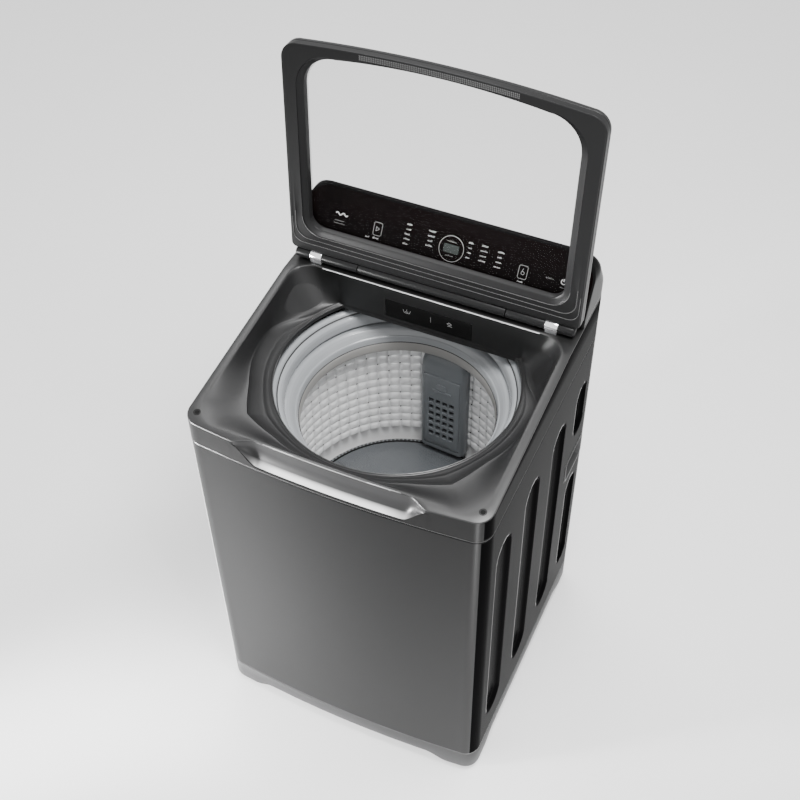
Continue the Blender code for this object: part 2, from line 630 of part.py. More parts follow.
def build_lid():
    hinge = add_empty("lid_hinge", (0, HINGE_Y, HINGE_Z), (LID_REST, 0, 0))
    loops = [
        lid_loop(0.0015, LID_LOW),
        lid_loop(0.0, LID_LOW + 0.0015),
        lid_loop(0.0, LID_HIGH - 0.0015),
        lid_loop(0.0015, LID_HIGH),
        lid_loop(GLASS_INSET, LID_HIGH),
        lid_loop(GLASS_INSET, GLASS_SEAT),
        lid_loop(0.0, GLASS_SEAT, LID_OPENING),
        lid_loop(0.0, -0.001, LID_OPENING),
        lid_loop(0.0, LID_LOW, LID_OPENING_FLARE),
    ]
    add_object("lid_frame", skin(bmesh.new(), loops, ring=True), COVER_PLASTIC, parent=hinge, smooth=35)
    pane = skin(bmesh.new(), [lid_loop(GLASS_INSET + GAP, GLASS_SEAT + GAP),
                              lid_loop(GLASS_INSET + GAP, LID_HIGH - 0.001)])
    add_object("lid_glass", pane, GLASS, parent=hinge)

    along_x = (0, math.radians(90), 0)
    bore = PIN_RADIUS + GAP
    segments = 14
    inner, outer = SLEEVE_SPAN
    middle = [(0.0, -0.1385), (BARREL_RADIUS, -0.1385), (BARREL_RADIUS, 0.1385), (0.0, 0.1385)]
    add_object("lid_barrel_middle", turned(middle, segments), COVER_PLASTIC, parent=hinge,
               rotation=along_x, smooth=35)
    for side, sign in (("left", -1), ("right", 1)):
        knuckle = [(0.0, 0.140), (BARREL_RADIUS, 0.140), (BARREL_RADIUS, inner - 0.001), (bore, inner - 0.001),
                   (bore, inner - 0.013), (0.0, inner - 0.013)]
        end = [(0.0, outer + 0.013), (bore, outer + 0.013), (bore, outer + 0.001),
               (BARREL_RADIUS, outer + 0.001), (BARREL_RADIUS, 0.2600), (BARREL_RADIUS - 0.003, 0.2625),
               (0.0, 0.2625)]
        pin = [(0.0, inner - 0.012), (PIN_RADIUS, inner - 0.012), (PIN_RADIUS, outer + 0.012),
               (0.0, outer + 0.012)]
        sleeve = [(bore, inner), (BARREL_RADIUS + 0.0006, inner), (BARREL_RADIUS + 0.0006, outer), (bore, outer)]

        add_object(f"lid_barrel_{side}", turned(mirrored(knuckle, sign), segments), COVER_PLASTIC, parent=hinge,
                   rotation=along_x, smooth=35)
        add_object(f"lid_barrel_end_{side}", turned(mirrored(end, sign), segments), COVER_PLASTIC, parent=hinge,
                   rotation=along_x, smooth=35)
        seat = (0, HINGE_Y, HINGE_Z)
        add_object(f"hinge_pin_{side}", turned(mirrored(pin, sign), segments), STEEL, location=seat,
                   rotation=along_x, smooth=35)
        collar = add_object(f"hinge_sleeve_{side}", turned(mirrored(sleeve, sign), segments), CHROME, location=seat,
                            rotation=along_x, smooth=35)
        foot = bmesh.new()
        drop = HINGE_Z - COVER_DECK - GAP
        ends = sorted((sign * inner, sign * outer))
        # The collar's own X points down and its Z along the hinge.
        add_box(foot, (0.0075, -0.008, ends[0] + 0.001), (drop, 0.008, ends[1] - 0.001))
        combine(collar, f"sleeve_foot_{side}", foot, "UNION")


# ---------------------------------------------------------------- detergent drawer
def build_drawer():
    housing = open_box((-0.0858, 0.1195 + GAP, 0.7585), (0.0858, 0.232, 0.8060), 0.0025, 1, -1)
    add_object("drawer_housing", housing, WHITE_PLASTIC)
    tray = open_box((-0.0775, 0.1165, 0.7650), (0.0775, 0.2240, 0.7975), 0.002, 2, 1)
    drawer = add_object("detergent_drawer", tray, DARK_PLASTIC)
    front = bmesh.new()
    add_box(front, (-0.0824, BACK_WALL_Y - 0.0005, 0.7626), (0.0824, 0.1180, 0.8014))
    combine(drawer, "drawer_front", front, "UNION")


# ---------------------------------------------------------------- tub, drum and wash parts
def build_tub():
    on_axis = (0, AXIS_Y, 0)
    profile = [(0.2255, TUB_TOP), (0.2225, 0.348), (0.2150, TUB_BOTTOM), (0.034, TUB_BOTTOM), (0.034, 0.339),
               (0.2130, 0.339), (0.2187, 0.350), (0.2218, TUB_TOP)]
    tub = add_object("tub", turned(profile, RING_SEGMENTS), WHITE_PLASTIC, location=on_axis, smooth=35)
    lugs = bmesh.new()
    bores = bmesh.new()
    for sign_y in (-1, 1):
        for sign_x in (-1, 1):
            angle = math.atan2(sign_y * ROD_Y, sign_x * ROD_X)
            turn = Matrix.Rotation(angle, 4, "Z")
            block = [(0.2205, -0.016), (0.3000, -0.016), (0.3000, 0.016), (0.2205, 0.016)]
            add_prism(lugs, block, LUG_BOTTOM, LUG_BOTTOM + 0.022, turn)
            add_prism(bores, circle(0.008, 12, (sign_x * ROD_X, sign_y * ROD_Y)), 0.380, 0.440)
    combine(tub, "tub_lugs", lugs, "UNION")
    combine(tub, "lug_bores", bores, "DIFFERENCE")

    ring = [(0.2295, 0.6990), (0.2295, 0.7230), (0.2240, 0.7330), (0.2140, 0.7365), (0.2040, 0.7300),
            (0.1965, 0.7225), (0.1950, 0.7080), (0.2190, 0.7070), (0.2190, 0.6990)]
    add_object("tub_ring", turned(ring, RING_SEGMENTS), RING_GREY, location=on_axis, smooth=50)

    basket = [(BASKET_RADIUS, BASKET_TOP), (BASKET_RADIUS, 0.3740), (0.1990, BASKET_FLOOR),
              (0.0205, BASKET_FLOOR), (0.0205, 0.3625), (0.1970, 0.3625), (0.2045, 0.3750), (0.2055, BASKET_TOP)]
    add_object("basket", turned(basket, RING_SEGMENTS), STEEL, location=on_axis, smooth=35)
    balance = [(0.2068, 0.6550), (0.2068, 0.6950), (0.2010, 0.7020), (0.1910, 0.7020), (0.1800, 0.6930),
               (0.1745, 0.6800), (0.1715, 0.6660), (0.1715, 0.6550)]
    add_object("balance_ring", turned(balance, RING_SEGMENTS), RING_GREY, location=on_axis, smooth=50)
    hub = [(0.0085, BASKET_FLOOR - GAP), (0.0900, BASKET_FLOOR - GAP), (0.0900, 0.3550), (0.0300, 0.3535),
           (0.0165, 0.3535), (0.0165, 0.2020), (0.0085, 0.2020)]
    add_object("drum_hub", turned(hub, 16), STEEL, location=on_axis, smooth=35)


def pulsator_height(radius, angle):
    """Top of the pulsator: a low dome with three swept vanes."""
    dome = 0.3795 + 0.0055 * math.cos(min(radius / 0.19, 1.0) * math.pi / 2)
    vane = max(0.0, math.cos(1.5 * (angle - 2.2 * radius))) ** 12
    swell = math.sin(min(max((radius - 0.03) / 0.15, 0.0), 1.0) * math.pi) ** 0.8
    return dome + 0.012 * vane * swell


def build_pulsator():
    on_axis = (0, AXIS_Y, 0)
    segments = 36
    bottom = 0.3660
    radii = (0.190, 0.175, 0.145, 0.105, 0.065, 0.025)
    loops = [[(x, y, bottom) for x, y in circle(0.025, segments)],
             [(x, y, bottom) for x, y in circle(0.188, segments)]]
    for radius in radii:
        loops.append([(x, y, pulsator_height(radius, math.atan2(y, x))) for x, y in circle(radius, segments)])
    shape = skin(bmesh.new(), loops)
    add_object("pulsator", shape, PULSATOR_GREY, location=on_axis, smooth=50)
    top = pulsator_height(0.025, 0.0)
    cap = [(0.0, top + GAP), (0.0200, top + GAP), (0.0200, top + 0.004), (0.0150, top + 0.008), (0.0, top + 0.009)]
    add_object("pulsator_cap", turned(cap, 20), FILTER_GREY, location=on_axis, smooth=50)
    shaft = [(0.0, 0.2020), (0.0078, 0.2020), (0.0078, bottom - GAP), (0.0, bottom - GAP)]
    add_object("wash_shaft", turned(shaft, 16), STEEL, location=on_axis, smooth=35)


def build_lint_filter():
    """The filter housing hangs on the basket's rear wall, its cassette fills the front."""
    place = add_empty("filter_place", (0, AXIS_Y, 0), (0, 0, FILTER_TURN))
    inside = BASKET_RADIUS - SHEET - 0.0020
    front = 0.172
    spread = math.asin(FILTER_HALF / inside)
    steps = 6
    behind = [(inside * math.sin(spread - 2 * spread * i / steps), inside * math.cos(spread - 2 * spread * i / steps))
              for i in range(steps + 1)]
    outline = [(-FILTER_HALF, front + 0.006), (-FILTER_HALF + 0.006, front), (FILTER_HALF - 0.006, front),
               (FILTER_HALF, front + 0.006)] + behind
    housing = bmesh.new()
    add_prism(housing, outline, FILTER_LOW + 0.004, FILTER_HIGH)
    body = add_object("lint_filter_housing", housing, FILTER_GREY, parent=place, smooth=35)
    pocket = bmesh.new()
    add_box(pocket, (-0.0385, front - 0.010, 0.4065), (0.0385, front + 0.0175, 0.6020))
    combine(body, "filter_pocket", pocket, "DIFFERENCE")
    plate = bmesh.new()
    low, high = 0.4080, 0.6000
    add_box(plate, (-0.0380, front - 0.001, low), (0.0380, front + 0.0165, high))
    cassette = add_object("lint_filter_cassette", plate, FILTER_GREY, parent=place)
    holes = bmesh.new()
    pitch_x, pitch_z, size = 0.0145, 0.0185, 0.0052
    for column in range(4):
        for row in range(6):
            x = (column - 1.5) * pitch_x
            z = 0.4400 + row * pitch_z
            add_box(holes, (x - size, front - 0.010, z - size - 0.001), (x + size, front + 0.005, z + size + 0.001))
    combine(cassette, "cassette_grid", holes, "DIFFERENCE")
    hollow = bmesh.new()
    add_box(hollow, (-0.0350, front + 0.0035, low + 0.012), (0.0350, front + 0.030, high - 0.012))
    combine(cassette, "cassette_hollow", hollow, "DIFFERENCE")


# ---------------------------------------------------------------- drive
def belt_outline(big, small, span, steps=10):
    """Outline of a belt round two pulleys on the X axis: two arcs and two straight runs."""
    tilt = math.degrees(math.acos((big - small) / span))
    return arc((0, 0), big, tilt, 360 - tilt, steps + 4) + arc((span, 0), small, -tilt, tilt, steps)


def pulley_profile(groove, core, top=None):
    flange = groove + BELT_THICKNESS + 0.001
    low, high = BELT_LOW - GAP, BELT_HIGH + GAP
    profile = [(0.0, low - 0.004), (flange, low - 0.004), (flange, low), (groove, low), (groove, high),
               (flange, high), (flange, high + 0.004)]
    if top:
        profile += [(core, high + 0.004), (core, top), (0.0, top)]
    else:
        profile += [(0.0, high + 0.004)]
    return profile


def build_drive():
    on_axis = (0, AXIS_Y, 0)
    plate = bmesh.new()
    add_prism(plate, rounded_outline(0.155, -0.095, 0.095, 0.040, 0.040, arc_steps=4, across=(0.0,), along=(0.0,),
                                     behind=(0.0,)), 0.3305, TUB_BOTTOM - GAP)
    mount = add_object("mounting_plate", plate, GALVANISED, location=(0.050, AXIS_Y, 0))
    hole = bmesh.new()
    add_prism(hole, circle(0.034, 24, (-0.050, 0)), 0.320, 0.345)
    combine(mount, "plate_hole", hole, "DIFFERENCE")

    gearcase = [(0.0172, 0.3520), (0.0310, 0.3520), (0.0310, 0.3302), (0.0700, 0.3302), (0.0700, 0.3240),
                (0.0480, 0.3160), (0.0480, 0.2120), (0.0440, 0.2060), (0.0172, 0.2060)]
    add_object("gearcase", turned(gearcase, 18), GALVANISED, location=on_axis, smooth=35)
    add_object("clutch_pulley", turned(pulley_profile(BIG_GROOVE, 0.0078, 0.2017), 20), STEEL,
               location=on_axis, smooth=35)
    beside = (MOTOR_X, AXIS_Y, 0)
    motor = [(0.0, 0.2120), (0.0460, 0.2120), (0.0580, 0.2220), (0.0580, 0.3200), (0.0500, 0.3302), (0.0, 0.3302)]
    add_object("motor", turned(motor, 18), GALVANISED, location=beside, smooth=35)
    add_object("motor_pulley", turned(pulley_profile(SMALL_GROOVE, 0.0060, 0.2117), 16), STEEL,
               location=beside, smooth=35)

    belt = bmesh.new()
    loops = []
    for grow, level in ((0, BELT_LOW), (BELT_THICKNESS, BELT_LOW), (BELT_THICKNESS, BELT_HIGH), (0, BELT_HIGH)):
        seat = BELT_CLEARANCE + grow
        outline = belt_outline(BIG_GROOVE + seat, SMALL_GROOVE + seat, MOTOR_X)
        loops.append([(x, y, level) for x, y in outline])
    add_object("drive_belt", skin(belt, loops, ring=True), RUBBER, location=on_axis)

    valve = bmesh.new()
    add_box(valve, (-0.190, 0.020, 0.270), (-0.115, 0.095, TUB_BOTTOM - GAP))
    add_object("drain_valve", valve, WHITE_PLASTIC)


# ---------------------------------------------------------------- suspension
def coil_spring(low, high, radius, wire, turns, per_turn=8, sides=4):
    """Open coil with flat-cut ends, standing between two heights."""
    shape = bmesh.new()
    steps = turns * per_turn
    climb = (high - low - 2 * wire) / steps
    loops = []
    for index in range(steps + 1):
        angle = 2 * math.pi * index / per_turn
        outward = Vector((math.cos(angle), math.sin(angle), 0))
        centre = outward * radius + Vector((0, 0, low + wire + climb * index))
        loop = []
        for side in range(sides):
            around = 2 * math.pi * side / sides
            loop.append(centre + outward * wire * math.cos(around) + Vector((0, 0, wire * math.sin(around))))
        loops.append(loop)
    return skin(shape, loops)


def build_suspension():
    cup_low = ROD_CUP_TOP - 0.006
    rod = [(0.0, 0.7275), (0.0080, 0.7275), (0.0140, 0.7220), (0.0140, 0.7158), (0.0040, 0.7158),
           (0.0040, ROD_CUP_TOP), (0.0160, ROD_CUP_TOP), (0.0160, cup_low), (0.0, cup_low)]
    for name, x, y in rod_places():
        add_object(f"rod_{name}", turned(rod, 8), STEEL, location=(x, y, 0), smooth=35)
        spring = coil_spring(ROD_CUP_TOP + GAP, LUG_BOTTOM - GAP, 0.0115, 0.0018, 4)
        add_object(f"spring_{name}", spring, STEEL, location=(x, y, 0), smooth=60)


def main():
    clear_scene()
    build_cabinet()
    build_rear()
    build_base()
    build_top_cover()
    build_console()
    build_lid()
    build_drawer()
    build_tub()
    build_pulsator()
    build_lint_filter()
    build_drive()
    build_suspension()


main()
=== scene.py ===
"""Looks of the top load washing machine, on the shared frame. Metres, +Z up, front at -Y."""
import json
import math
import random

import bmesh
import bpy
from mathutils import Matrix, Vector


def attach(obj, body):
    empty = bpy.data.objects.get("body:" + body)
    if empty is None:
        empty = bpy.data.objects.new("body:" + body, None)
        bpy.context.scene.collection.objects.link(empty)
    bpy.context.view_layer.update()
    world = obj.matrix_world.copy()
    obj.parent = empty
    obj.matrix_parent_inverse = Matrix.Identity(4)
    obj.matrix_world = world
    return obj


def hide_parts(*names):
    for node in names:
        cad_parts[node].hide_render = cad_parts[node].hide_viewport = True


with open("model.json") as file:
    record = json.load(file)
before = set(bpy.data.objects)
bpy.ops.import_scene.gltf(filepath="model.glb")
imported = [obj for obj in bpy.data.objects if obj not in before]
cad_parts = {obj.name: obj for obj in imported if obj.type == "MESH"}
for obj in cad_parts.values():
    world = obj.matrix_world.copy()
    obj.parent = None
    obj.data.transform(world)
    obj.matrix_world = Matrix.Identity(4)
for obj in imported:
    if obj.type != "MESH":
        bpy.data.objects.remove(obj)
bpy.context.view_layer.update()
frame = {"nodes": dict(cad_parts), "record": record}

# Camera: place, turn round the machine, height above the horizon and roll, in degrees.
CAMERA_PLACE = (0.6507, -1.358, 2.2862)
CAMERA_TURN = 25.686
CAMERA_RISE = 46.699
CAMERA_ROLL = -1.103
CAMERA_LENS = 56.35

# Cabinet.
WIDTH = 0.540
DEPTH = 0.541
FRONT_BOW = 0.012
CORNER_RADIUS = 0.030
STRAIGHT = WIDTH / 2 - CORNER_RADIUS
SHEET = 0.0015
FOOT_BOTTOM = 0.010
SKIRT_BOTTOM = 0.026
CABINET_BOTTOM = 0.062
CABINET_TOP = 0.7382
RETURN_X = 0.215
SIDE_GROOVES = (
    (-0.216, -0.152, 0.130, 0.650),
    (-0.084, -0.020, 0.130, 0.650),
    (0.050, 0.114, 0.130, 0.650),
    (0.172, 0.222, 0.130, 0.396),
    (0.172, 0.222, 0.531, 0.652),
)
GROOVE_DEPTH = 0.008
HANDLE = (0.152, 0.2405, 0.427, 0.480)
HANDLE_DEPTH = 0.026

# Top cover.
COVER_BOTTOM = 0.7388
COVER_FRONT_TOP = 0.786
COVER_DECK = 0.830
COVER_SLOPE = math.radians(7.0)
COVER_WALL = 0.003
SCOOP_FOOT = 0.7425
SCOOP_TOP = 0.7830
SCOOP_DEPTH = 0.0172
SCOOP_ENDS = (0.134, 0.174)
# Span of |x| over which the painted highlight on the scoop's shelf fades out.
SHELF_FADE = (0.095, 0.160)
AXIS_Y = -0.016
MOUTH_RADIUS = 0.2115
MOUTH_BOTTOM = 0.748
BACK_WALL_Y = 0.115

# Lid, hinged along X.
HINGE_Y = 0.129
HINGE_Z = 0.842
LID_REST = math.radians(-93.3)
LID_LENGTH = 0.409
LID_START = 0.0108
LID_LOW = -0.006
LID_HIGH = 0.016
GLASS_SEAT = 0.0105
GLASS_INSET = 0.008
LID_OPENING = (0.2335, -0.393, -0.058, 0.058, 0.025)
LID_OPENING_FLARE = (0.2455, -0.3975, -0.046, 0.064, 0.035)
BARREL_RADIUS = 0.0098
SLEEVE_SPAN = (0.2105, 0.2325)

# Console.
CONSOLE_TOP = 0.948
CONSOLE_END_RADIUS = 0.045
CONSOLE_RIDGE = 0.2115
PANEL_FOOT = (0.150, 0.850)
PANEL_HEAD = (0.2045, 0.945)
PANEL_THICKNESS = 0.0028
DISPLAY_PLACE = (0.0155, 0.0580)

# Drum.
BASKET_RADIUS = 0.207
BASKET_FLOOR = 0.3597
BASKET_TOP = 0.6545
PILLOW_LOW = 0.408
PILLOW_COLUMNS = 60
PILLOW_ROWS = 12
FILTER_TURN = math.radians(-3.6)
FILTER_HALF = 0.0475
FILTER_FRONT = 0.172
FILTER_LOW = 0.388
FILTER_HIGH = 0.644


# ---------------------------------------------------------------- camera
def add_camera():
    turn, rise, roll = (math.radians(a) for a in (CAMERA_TURN, CAMERA_RISE, CAMERA_ROLL))
    back = Vector((math.sin(turn) * math.cos(rise), -math.cos(turn) * math.cos(rise), math.sin(rise)))
    across = Vector((0, 0, 1)).cross(back).normalized()
    up = back.cross(across)
    right = math.cos(roll) * across + math.sin(roll) * up
    top = -math.sin(roll) * across + math.cos(roll) * up
    data = bpy.data.cameras.new("camera")
    data.lens = CAMERA_LENS
    data.sensor_width = 36.0
    data.clip_end = 50.0
    camera = bpy.data.objects.new("camera", data)
    bpy.context.scene.collection.objects.link(camera)
    axes = Matrix((right, top, back)).transposed().to_4x4()
    camera.matrix_world = Matrix.Translation(CAMERA_PLACE) @ axes
    bpy.context.scene.camera = camera


add_camera()


# ---------------------------------------------------------------- materials
def surface(name, colour, roughness, metallic=0.0, grain=900.0, bump=0.08, mottle=0.12, wear_and_glint=0.0,
            specular=0.5, coat=0.0, stretch=None, alpha=1.0, spread=0.05, recess=None,
            rim=0.0, shelf=0.0):
    """Moulded, painted or rolled surface: grain in bump and gloss, slow colour drift, lighter edges.

    The lighter edges are scuffing on most finishes and a painted glint on the side paint's grooves. A rim is
    a painted sheen that lightens grazing faces, a shelf is a painted highlight that lightens faces that look
    up, and a recess is painted shade that darkens everything between two depths.
    """
    material = bpy.data.materials.new(name)
    material.use_nodes = True
    nodes, links = material.node_tree.nodes, material.node_tree.links
    shader = nodes["Principled BSDF"]
    shader.inputs["Metallic"].default_value = metallic
    shader.inputs["Specular IOR Level"].default_value = specular
    shader.inputs["Coat Weight"].default_value = coat
    shader.inputs["Coat Roughness"].default_value = 0.12
    shader.inputs["Alpha"].default_value = alpha

    place = nodes.new("ShaderNodeTexCoord")
    scaled = nodes.new("ShaderNodeMapping")
    scaled.inputs["Scale"].default_value = stretch or (1.0, 1.0, 1.0)
    links.new(place.outputs["Object"], scaled.inputs["Vector"])

    drift = nodes.new("ShaderNodeTexNoise")
    drift.inputs["Scale"].default_value = 7.0
    drift.inputs["Detail"].default_value = 4.0
    links.new(place.outputs["Object"], drift.inputs["Vector"])
    fine = nodes.new("ShaderNodeTexNoise")
    fine.inputs["Scale"].default_value = grain
    fine.inputs["Detail"].default_value = 2.0
    links.new(scaled.outputs["Vector"], fine.inputs["Vector"])

    tint = nodes.new("ShaderNodeMixRGB")
    tint.inputs["Color1"].default_value = (*[c * (1 - mottle) for c in colour], 1.0)
    tint.inputs["Color2"].default_value = (*[min(c * (1 + mottle), 1.0) for c in colour], 1.0)
    links.new(drift.outputs["Fac"], tint.inputs["Fac"])
    shade = tint.outputs["Color"]
    # Convex edges lighten: scuffing on most finishes, and a painted glint along the groove edges of the side
    # paint.
    if wear_and_glint:
        edge = nodes.new("ShaderNodeNewGeometry")
        reach = nodes.new("ShaderNodeMapRange")
        reach.inputs["From Min"].default_value = 0.53
        reach.inputs["From Max"].default_value = 0.62
        reach.inputs["To Max"].default_value = wear_and_glint
        links.new(edge.outputs["Pointiness"], reach.inputs["Value"])
        wear_and_glint_mix = nodes.new("ShaderNodeMixRGB")
        wear_and_glint_mix.inputs["Color2"].default_value = (*[min(c * 2.2 + 0.06, 1.0) for c in colour], 1.0)
        links.new(reach.outputs["Result"], wear_and_glint_mix.inputs["Fac"])
        links.new(shade, wear_and_glint_mix.inputs["Color1"])
        shade = wear_and_glint_mix.outputs["Color"]
    # Painted sheen: faces seen at a graze are lifted towards a fixed grey, standing in for glints along the
    # side's groove edges.
    if rim:
        facing = nodes.new("ShaderNodeLayerWeight")
        reach = nodes.new("ShaderNodeMapRange")
        reach.inputs["From Min"].default_value = 0.86
        reach.inputs["From Max"].default_value = 0.99
        links.new(facing.outputs["Facing"], reach.inputs["Value"])
        glint = nodes.new("ShaderNodeMixRGB")
        glint.inputs["Color2"].default_value = (rim, rim, rim, 1.0)
        links.new(reach.outputs["Result"], glint.inputs["Fac"])
        links.new(shade, glint.inputs["Color1"])
        shade = glint.outputs["Color"]
    # Painted highlight: faces that look up are lifted towards a fixed grey, fading out with |x| across
    # SHELF_FADE, standing in for the reflection on the scoop's shelf.
    if shelf:
        lean = nodes.new("ShaderNodeSeparateXYZ")
        links.new(place.outputs["Normal"], lean.inputs["Vector"])
        reach = nodes.new("ShaderNodeMapRange")
        reach.inputs["From Min"].default_value = 0.55
        reach.inputs["From Max"].default_value = 1.0
        links.new(lean.outputs["Z"], reach.inputs["Value"])
        across = nodes.new("ShaderNodeSeparateXYZ")
        links.new(place.outputs["Object"], across.inputs["Vector"])
        off_centre = nodes.new("ShaderNodeMath")
        off_centre.operation = "ABSOLUTE"
        links.new(across.outputs["X"], off_centre.inputs[0])
        fade = nodes.new("ShaderNodeMapRange")
        fade.inputs["From Min"].default_value, fade.inputs["From Max"].default_value = SHELF_FADE
        fade.inputs["To Min"].default_value = 1.0
        fade.inputs["To Max"].default_value = 0.0
        links.new(off_centre.outputs["Value"], fade.inputs["Value"])
        share = nodes.new("ShaderNodeMath")
        share.operation = "MULTIPLY"
        links.new(reach.outputs["Result"], share.inputs[0])
        links.new(fade.outputs["Result"], share.inputs[1])
        painted_shelf_highlight = nodes.new("ShaderNodeMixRGB")
        painted_shelf_highlight.inputs["Color2"].default_value = (shelf, shelf, shelf, 1.0)
        links.new(share.outputs["Value"], painted_shelf_highlight.inputs["Fac"])
        links.new(shade, painted_shelf_highlight.inputs["Color1"])
        shade = painted_shelf_highlight.outputs["Color"]
    # Painted shade: between the two depths the colour sinks to near black and stays so further back,
    # darkening the back of the recess.
    if recess:
        parts = nodes.new("ShaderNodeSeparateXYZ")
        links.new(place.outputs["Object"], parts.inputs["Vector"])
        reach = nodes.new("ShaderNodeMapRange")
        reach.inputs["From Min"].default_value, reach.inputs["From Max"].default_value = recess
        links.new(parts.outputs["Y"], reach.inputs["Value"])
        dark = nodes.new("ShaderNodeMixRGB")
        dark.inputs["Color2"].default_value = (0.0025, 0.0025, 0.0025, 1.0)
        links.new(reach.outputs["Result"], dark.inputs["Fac"])
        links.new(shade, dark.inputs["Color1"])
        shade = dark.outputs["Color"]
    links.new(shade, shader.inputs["Base Color"])

    gloss = nodes.new("ShaderNodeMapRange")
    gloss.inputs["To Min"].default_value = max(roughness - spread, 0.02)
    gloss.inputs["To Max"].default_value = roughness + spread
    blend = nodes.new("ShaderNodeMath")
    blend.operation = "ADD"
    blend.use_clamp = True
    half = nodes.new("ShaderNodeMath")
    half.operation = "MULTIPLY"
    half.inputs[1].default_value = 0.5
    links.new(drift.outputs["Fac"], blend.inputs[0])
    links.new(fine.outputs["Fac"], blend.inputs[1])
    links.new(blend.outputs["Value"], half.inputs[0])
    links.new(half.outputs["Value"], gloss.inputs["Value"])
    links.new(gloss.outputs["Result"], shader.inputs["Roughness"])

    relief = nodes.new("ShaderNodeBump")
    relief.inputs["Strength"].default_value = bump
    relief.inputs["Distance"].default_value = 0.0004
    links.new(fine.outputs["Fac"], relief.inputs["Height"])
    links.new(relief.outputs["Normal"], shader.inputs["Normal"])
    return material


ALONG = (1.0, 1.0, 0.06)
LOOKS = {
    "graphite_paint": surface("graphite_paint", (0.0042, 0.0042, 0.0043), 0.36, metallic=0.85, grain=1400.0,
                              bump=0.10, mottle=0.06, stretch=ALONG),
    # Darker, barely reflecting copy of the cabinet paint for the sides: painted shade for sides turned from
    # the lamps. Its grazing sheen and edge glints are painted highlights.
    "side_paint_and_shade": surface("side_paint_and_shade", (0.0018, 0.0018, 0.0019), 0.20, grain=700.0, bump=0.03,
                          specular=0.0015, spread=0.03, wear_and_glint=0.5, rim=0.35),
    "cover_plastic": surface("cover_plastic", (0.007, 0.007, 0.0072), 0.34, grain=1100.0, bump=0.08,
                             wear_and_glint=0.25, specular=0.13),
    # Cover plastic with painted shade over the back of the recess.
    "cover_recessed": surface("cover_recessed", (0.009, 0.009, 0.0093), 0.40, grain=1100.0, bump=0.06,
                              specular=0.44, recess=(0.100, 0.1140)),
    # Scoop plastic with a painted highlight on its upward faces.
    "scoop_painted_highlight": surface("scoop_painted_highlight", (0.010, 0.010, 0.0103), 0.36, grain=1100.0, bump=0.04,
                           specular=0.3, shelf=0.75),
    "recess_plastic": surface("recess_plastic", (0.006, 0.006, 0.006), 0.42, grain=1100.0, bump=0.10,
                              specular=0.04),
    "console_paint": surface("console_paint", (0.004, 0.004, 0.004), 0.25, grain=1000.0, bump=0.04,
                             specular=0.02),
    "dark_plastic": surface("dark_plastic", (0.013, 0.013, 0.0135), 0.48, grain=900.0, bump=0.16, wear_and_glint=0.3),
    "gloss_panel": surface("gloss_panel", (0.0016, 0.0008, 0.0008), 0.16, grain=500.0, bump=0.0,
                           spread=0.015, specular=0.010),
    "display_window": surface("display_window", (0.022, 0.028, 0.026), 0.25, grain=600.0, bump=0.02),
    "white_plastic": surface("white_plastic", (0.62, 0.63, 0.61), 0.45, grain=700.0, bump=0.12),
    "steel": surface("steel", (0.56, 0.56, 0.57), 0.30, metallic=1.0, grain=800.0, bump=0.08, mottle=0.10),
    "chrome": surface("chrome", (0.90, 0.90, 0.91), 0.12, metallic=0.9, grain=500.0, bump=0.02, mottle=0.04,
                      spread=0.04),
    "ring_grey": surface("ring_grey", (0.24, 0.25, 0.26), 0.20, grain=900.0, bump=0.03, mottle=0.05,
                         coat=0.4),
    "taupe_ring": surface("taupe_ring", (0.25, 0.245, 0.235), 0.36, grain=900.0, bump=0.06, mottle=0.06),
    "stainless_steel": surface("stainless_steel", (0.95, 0.95, 0.95), 0.22, metallic=0.30, grain=900.0,
                               bump=0.05, mottle=0.05, stretch=(1.0, 1.0, 0.1)),
    # Painted shade for holes, slots, grooves, seams and gaps: dark marks where the inside would lie in
    # shade.
    "painted_gap_shade": surface("painted_gap_shade", (0.020, 0.020, 0.020), 0.60),
    "cast_aluminium": surface("cast_aluminium", (0.42, 0.43, 0.44), 0.48, metallic=0.9, grain=420.0,
                              bump=0.35),
    "galvanised_steel": surface("galvanised_steel", (0.44, 0.46, 0.48), 0.42, metallic=0.85, grain=60.0,
                                bump=0.05, mottle=0.22),
    "pulsator_grey": surface("pulsator_grey", (0.070, 0.075, 0.080), 0.28, grain=900.0, bump=0.06),
    "filter_grey": surface("filter_grey", (0.120, 0.130, 0.138), 0.34, grain=900.0, bump=0.08, wear_and_glint=0.15),
    "rubber": surface("rubber", (0.016, 0.016, 0.016), 0.80, grain=500.0, bump=0.35, specular=0.3),
    # Light grey for the painted highlight along the recess's rear edge.
    "painted_edge_highlight": surface("painted_edge_highlight", (0.62, 0.62, 0.63), 0.26, metallic=0.5, grain=900.0, bump=0.05),
    # Lighter grey for the raw cabinet edge and the lid's ribs, and for painted highlights on the mouth's lip
    # and the lid's steps.
    "soft_trim_and_highlight": surface("soft_trim_and_highlight", (0.07, 0.07, 0.07), 0.30, grain=900.0, bump=0.05),
    "print": surface("print", (0.85, 0.85, 0.85), 0.40, grain=900.0, bump=0.02),
    "faint_print": surface("faint_print", (0.30, 0.30, 0.30), 0.40, grain=900.0, bump=0.02),
    "lid_glass": surface("lid_glass", (0.02, 0.02, 0.02), 0.04, grain=300.0, bump=0.0, mottle=0.02,
                         alpha=0.05, spread=0.01, specular=0.05),
}


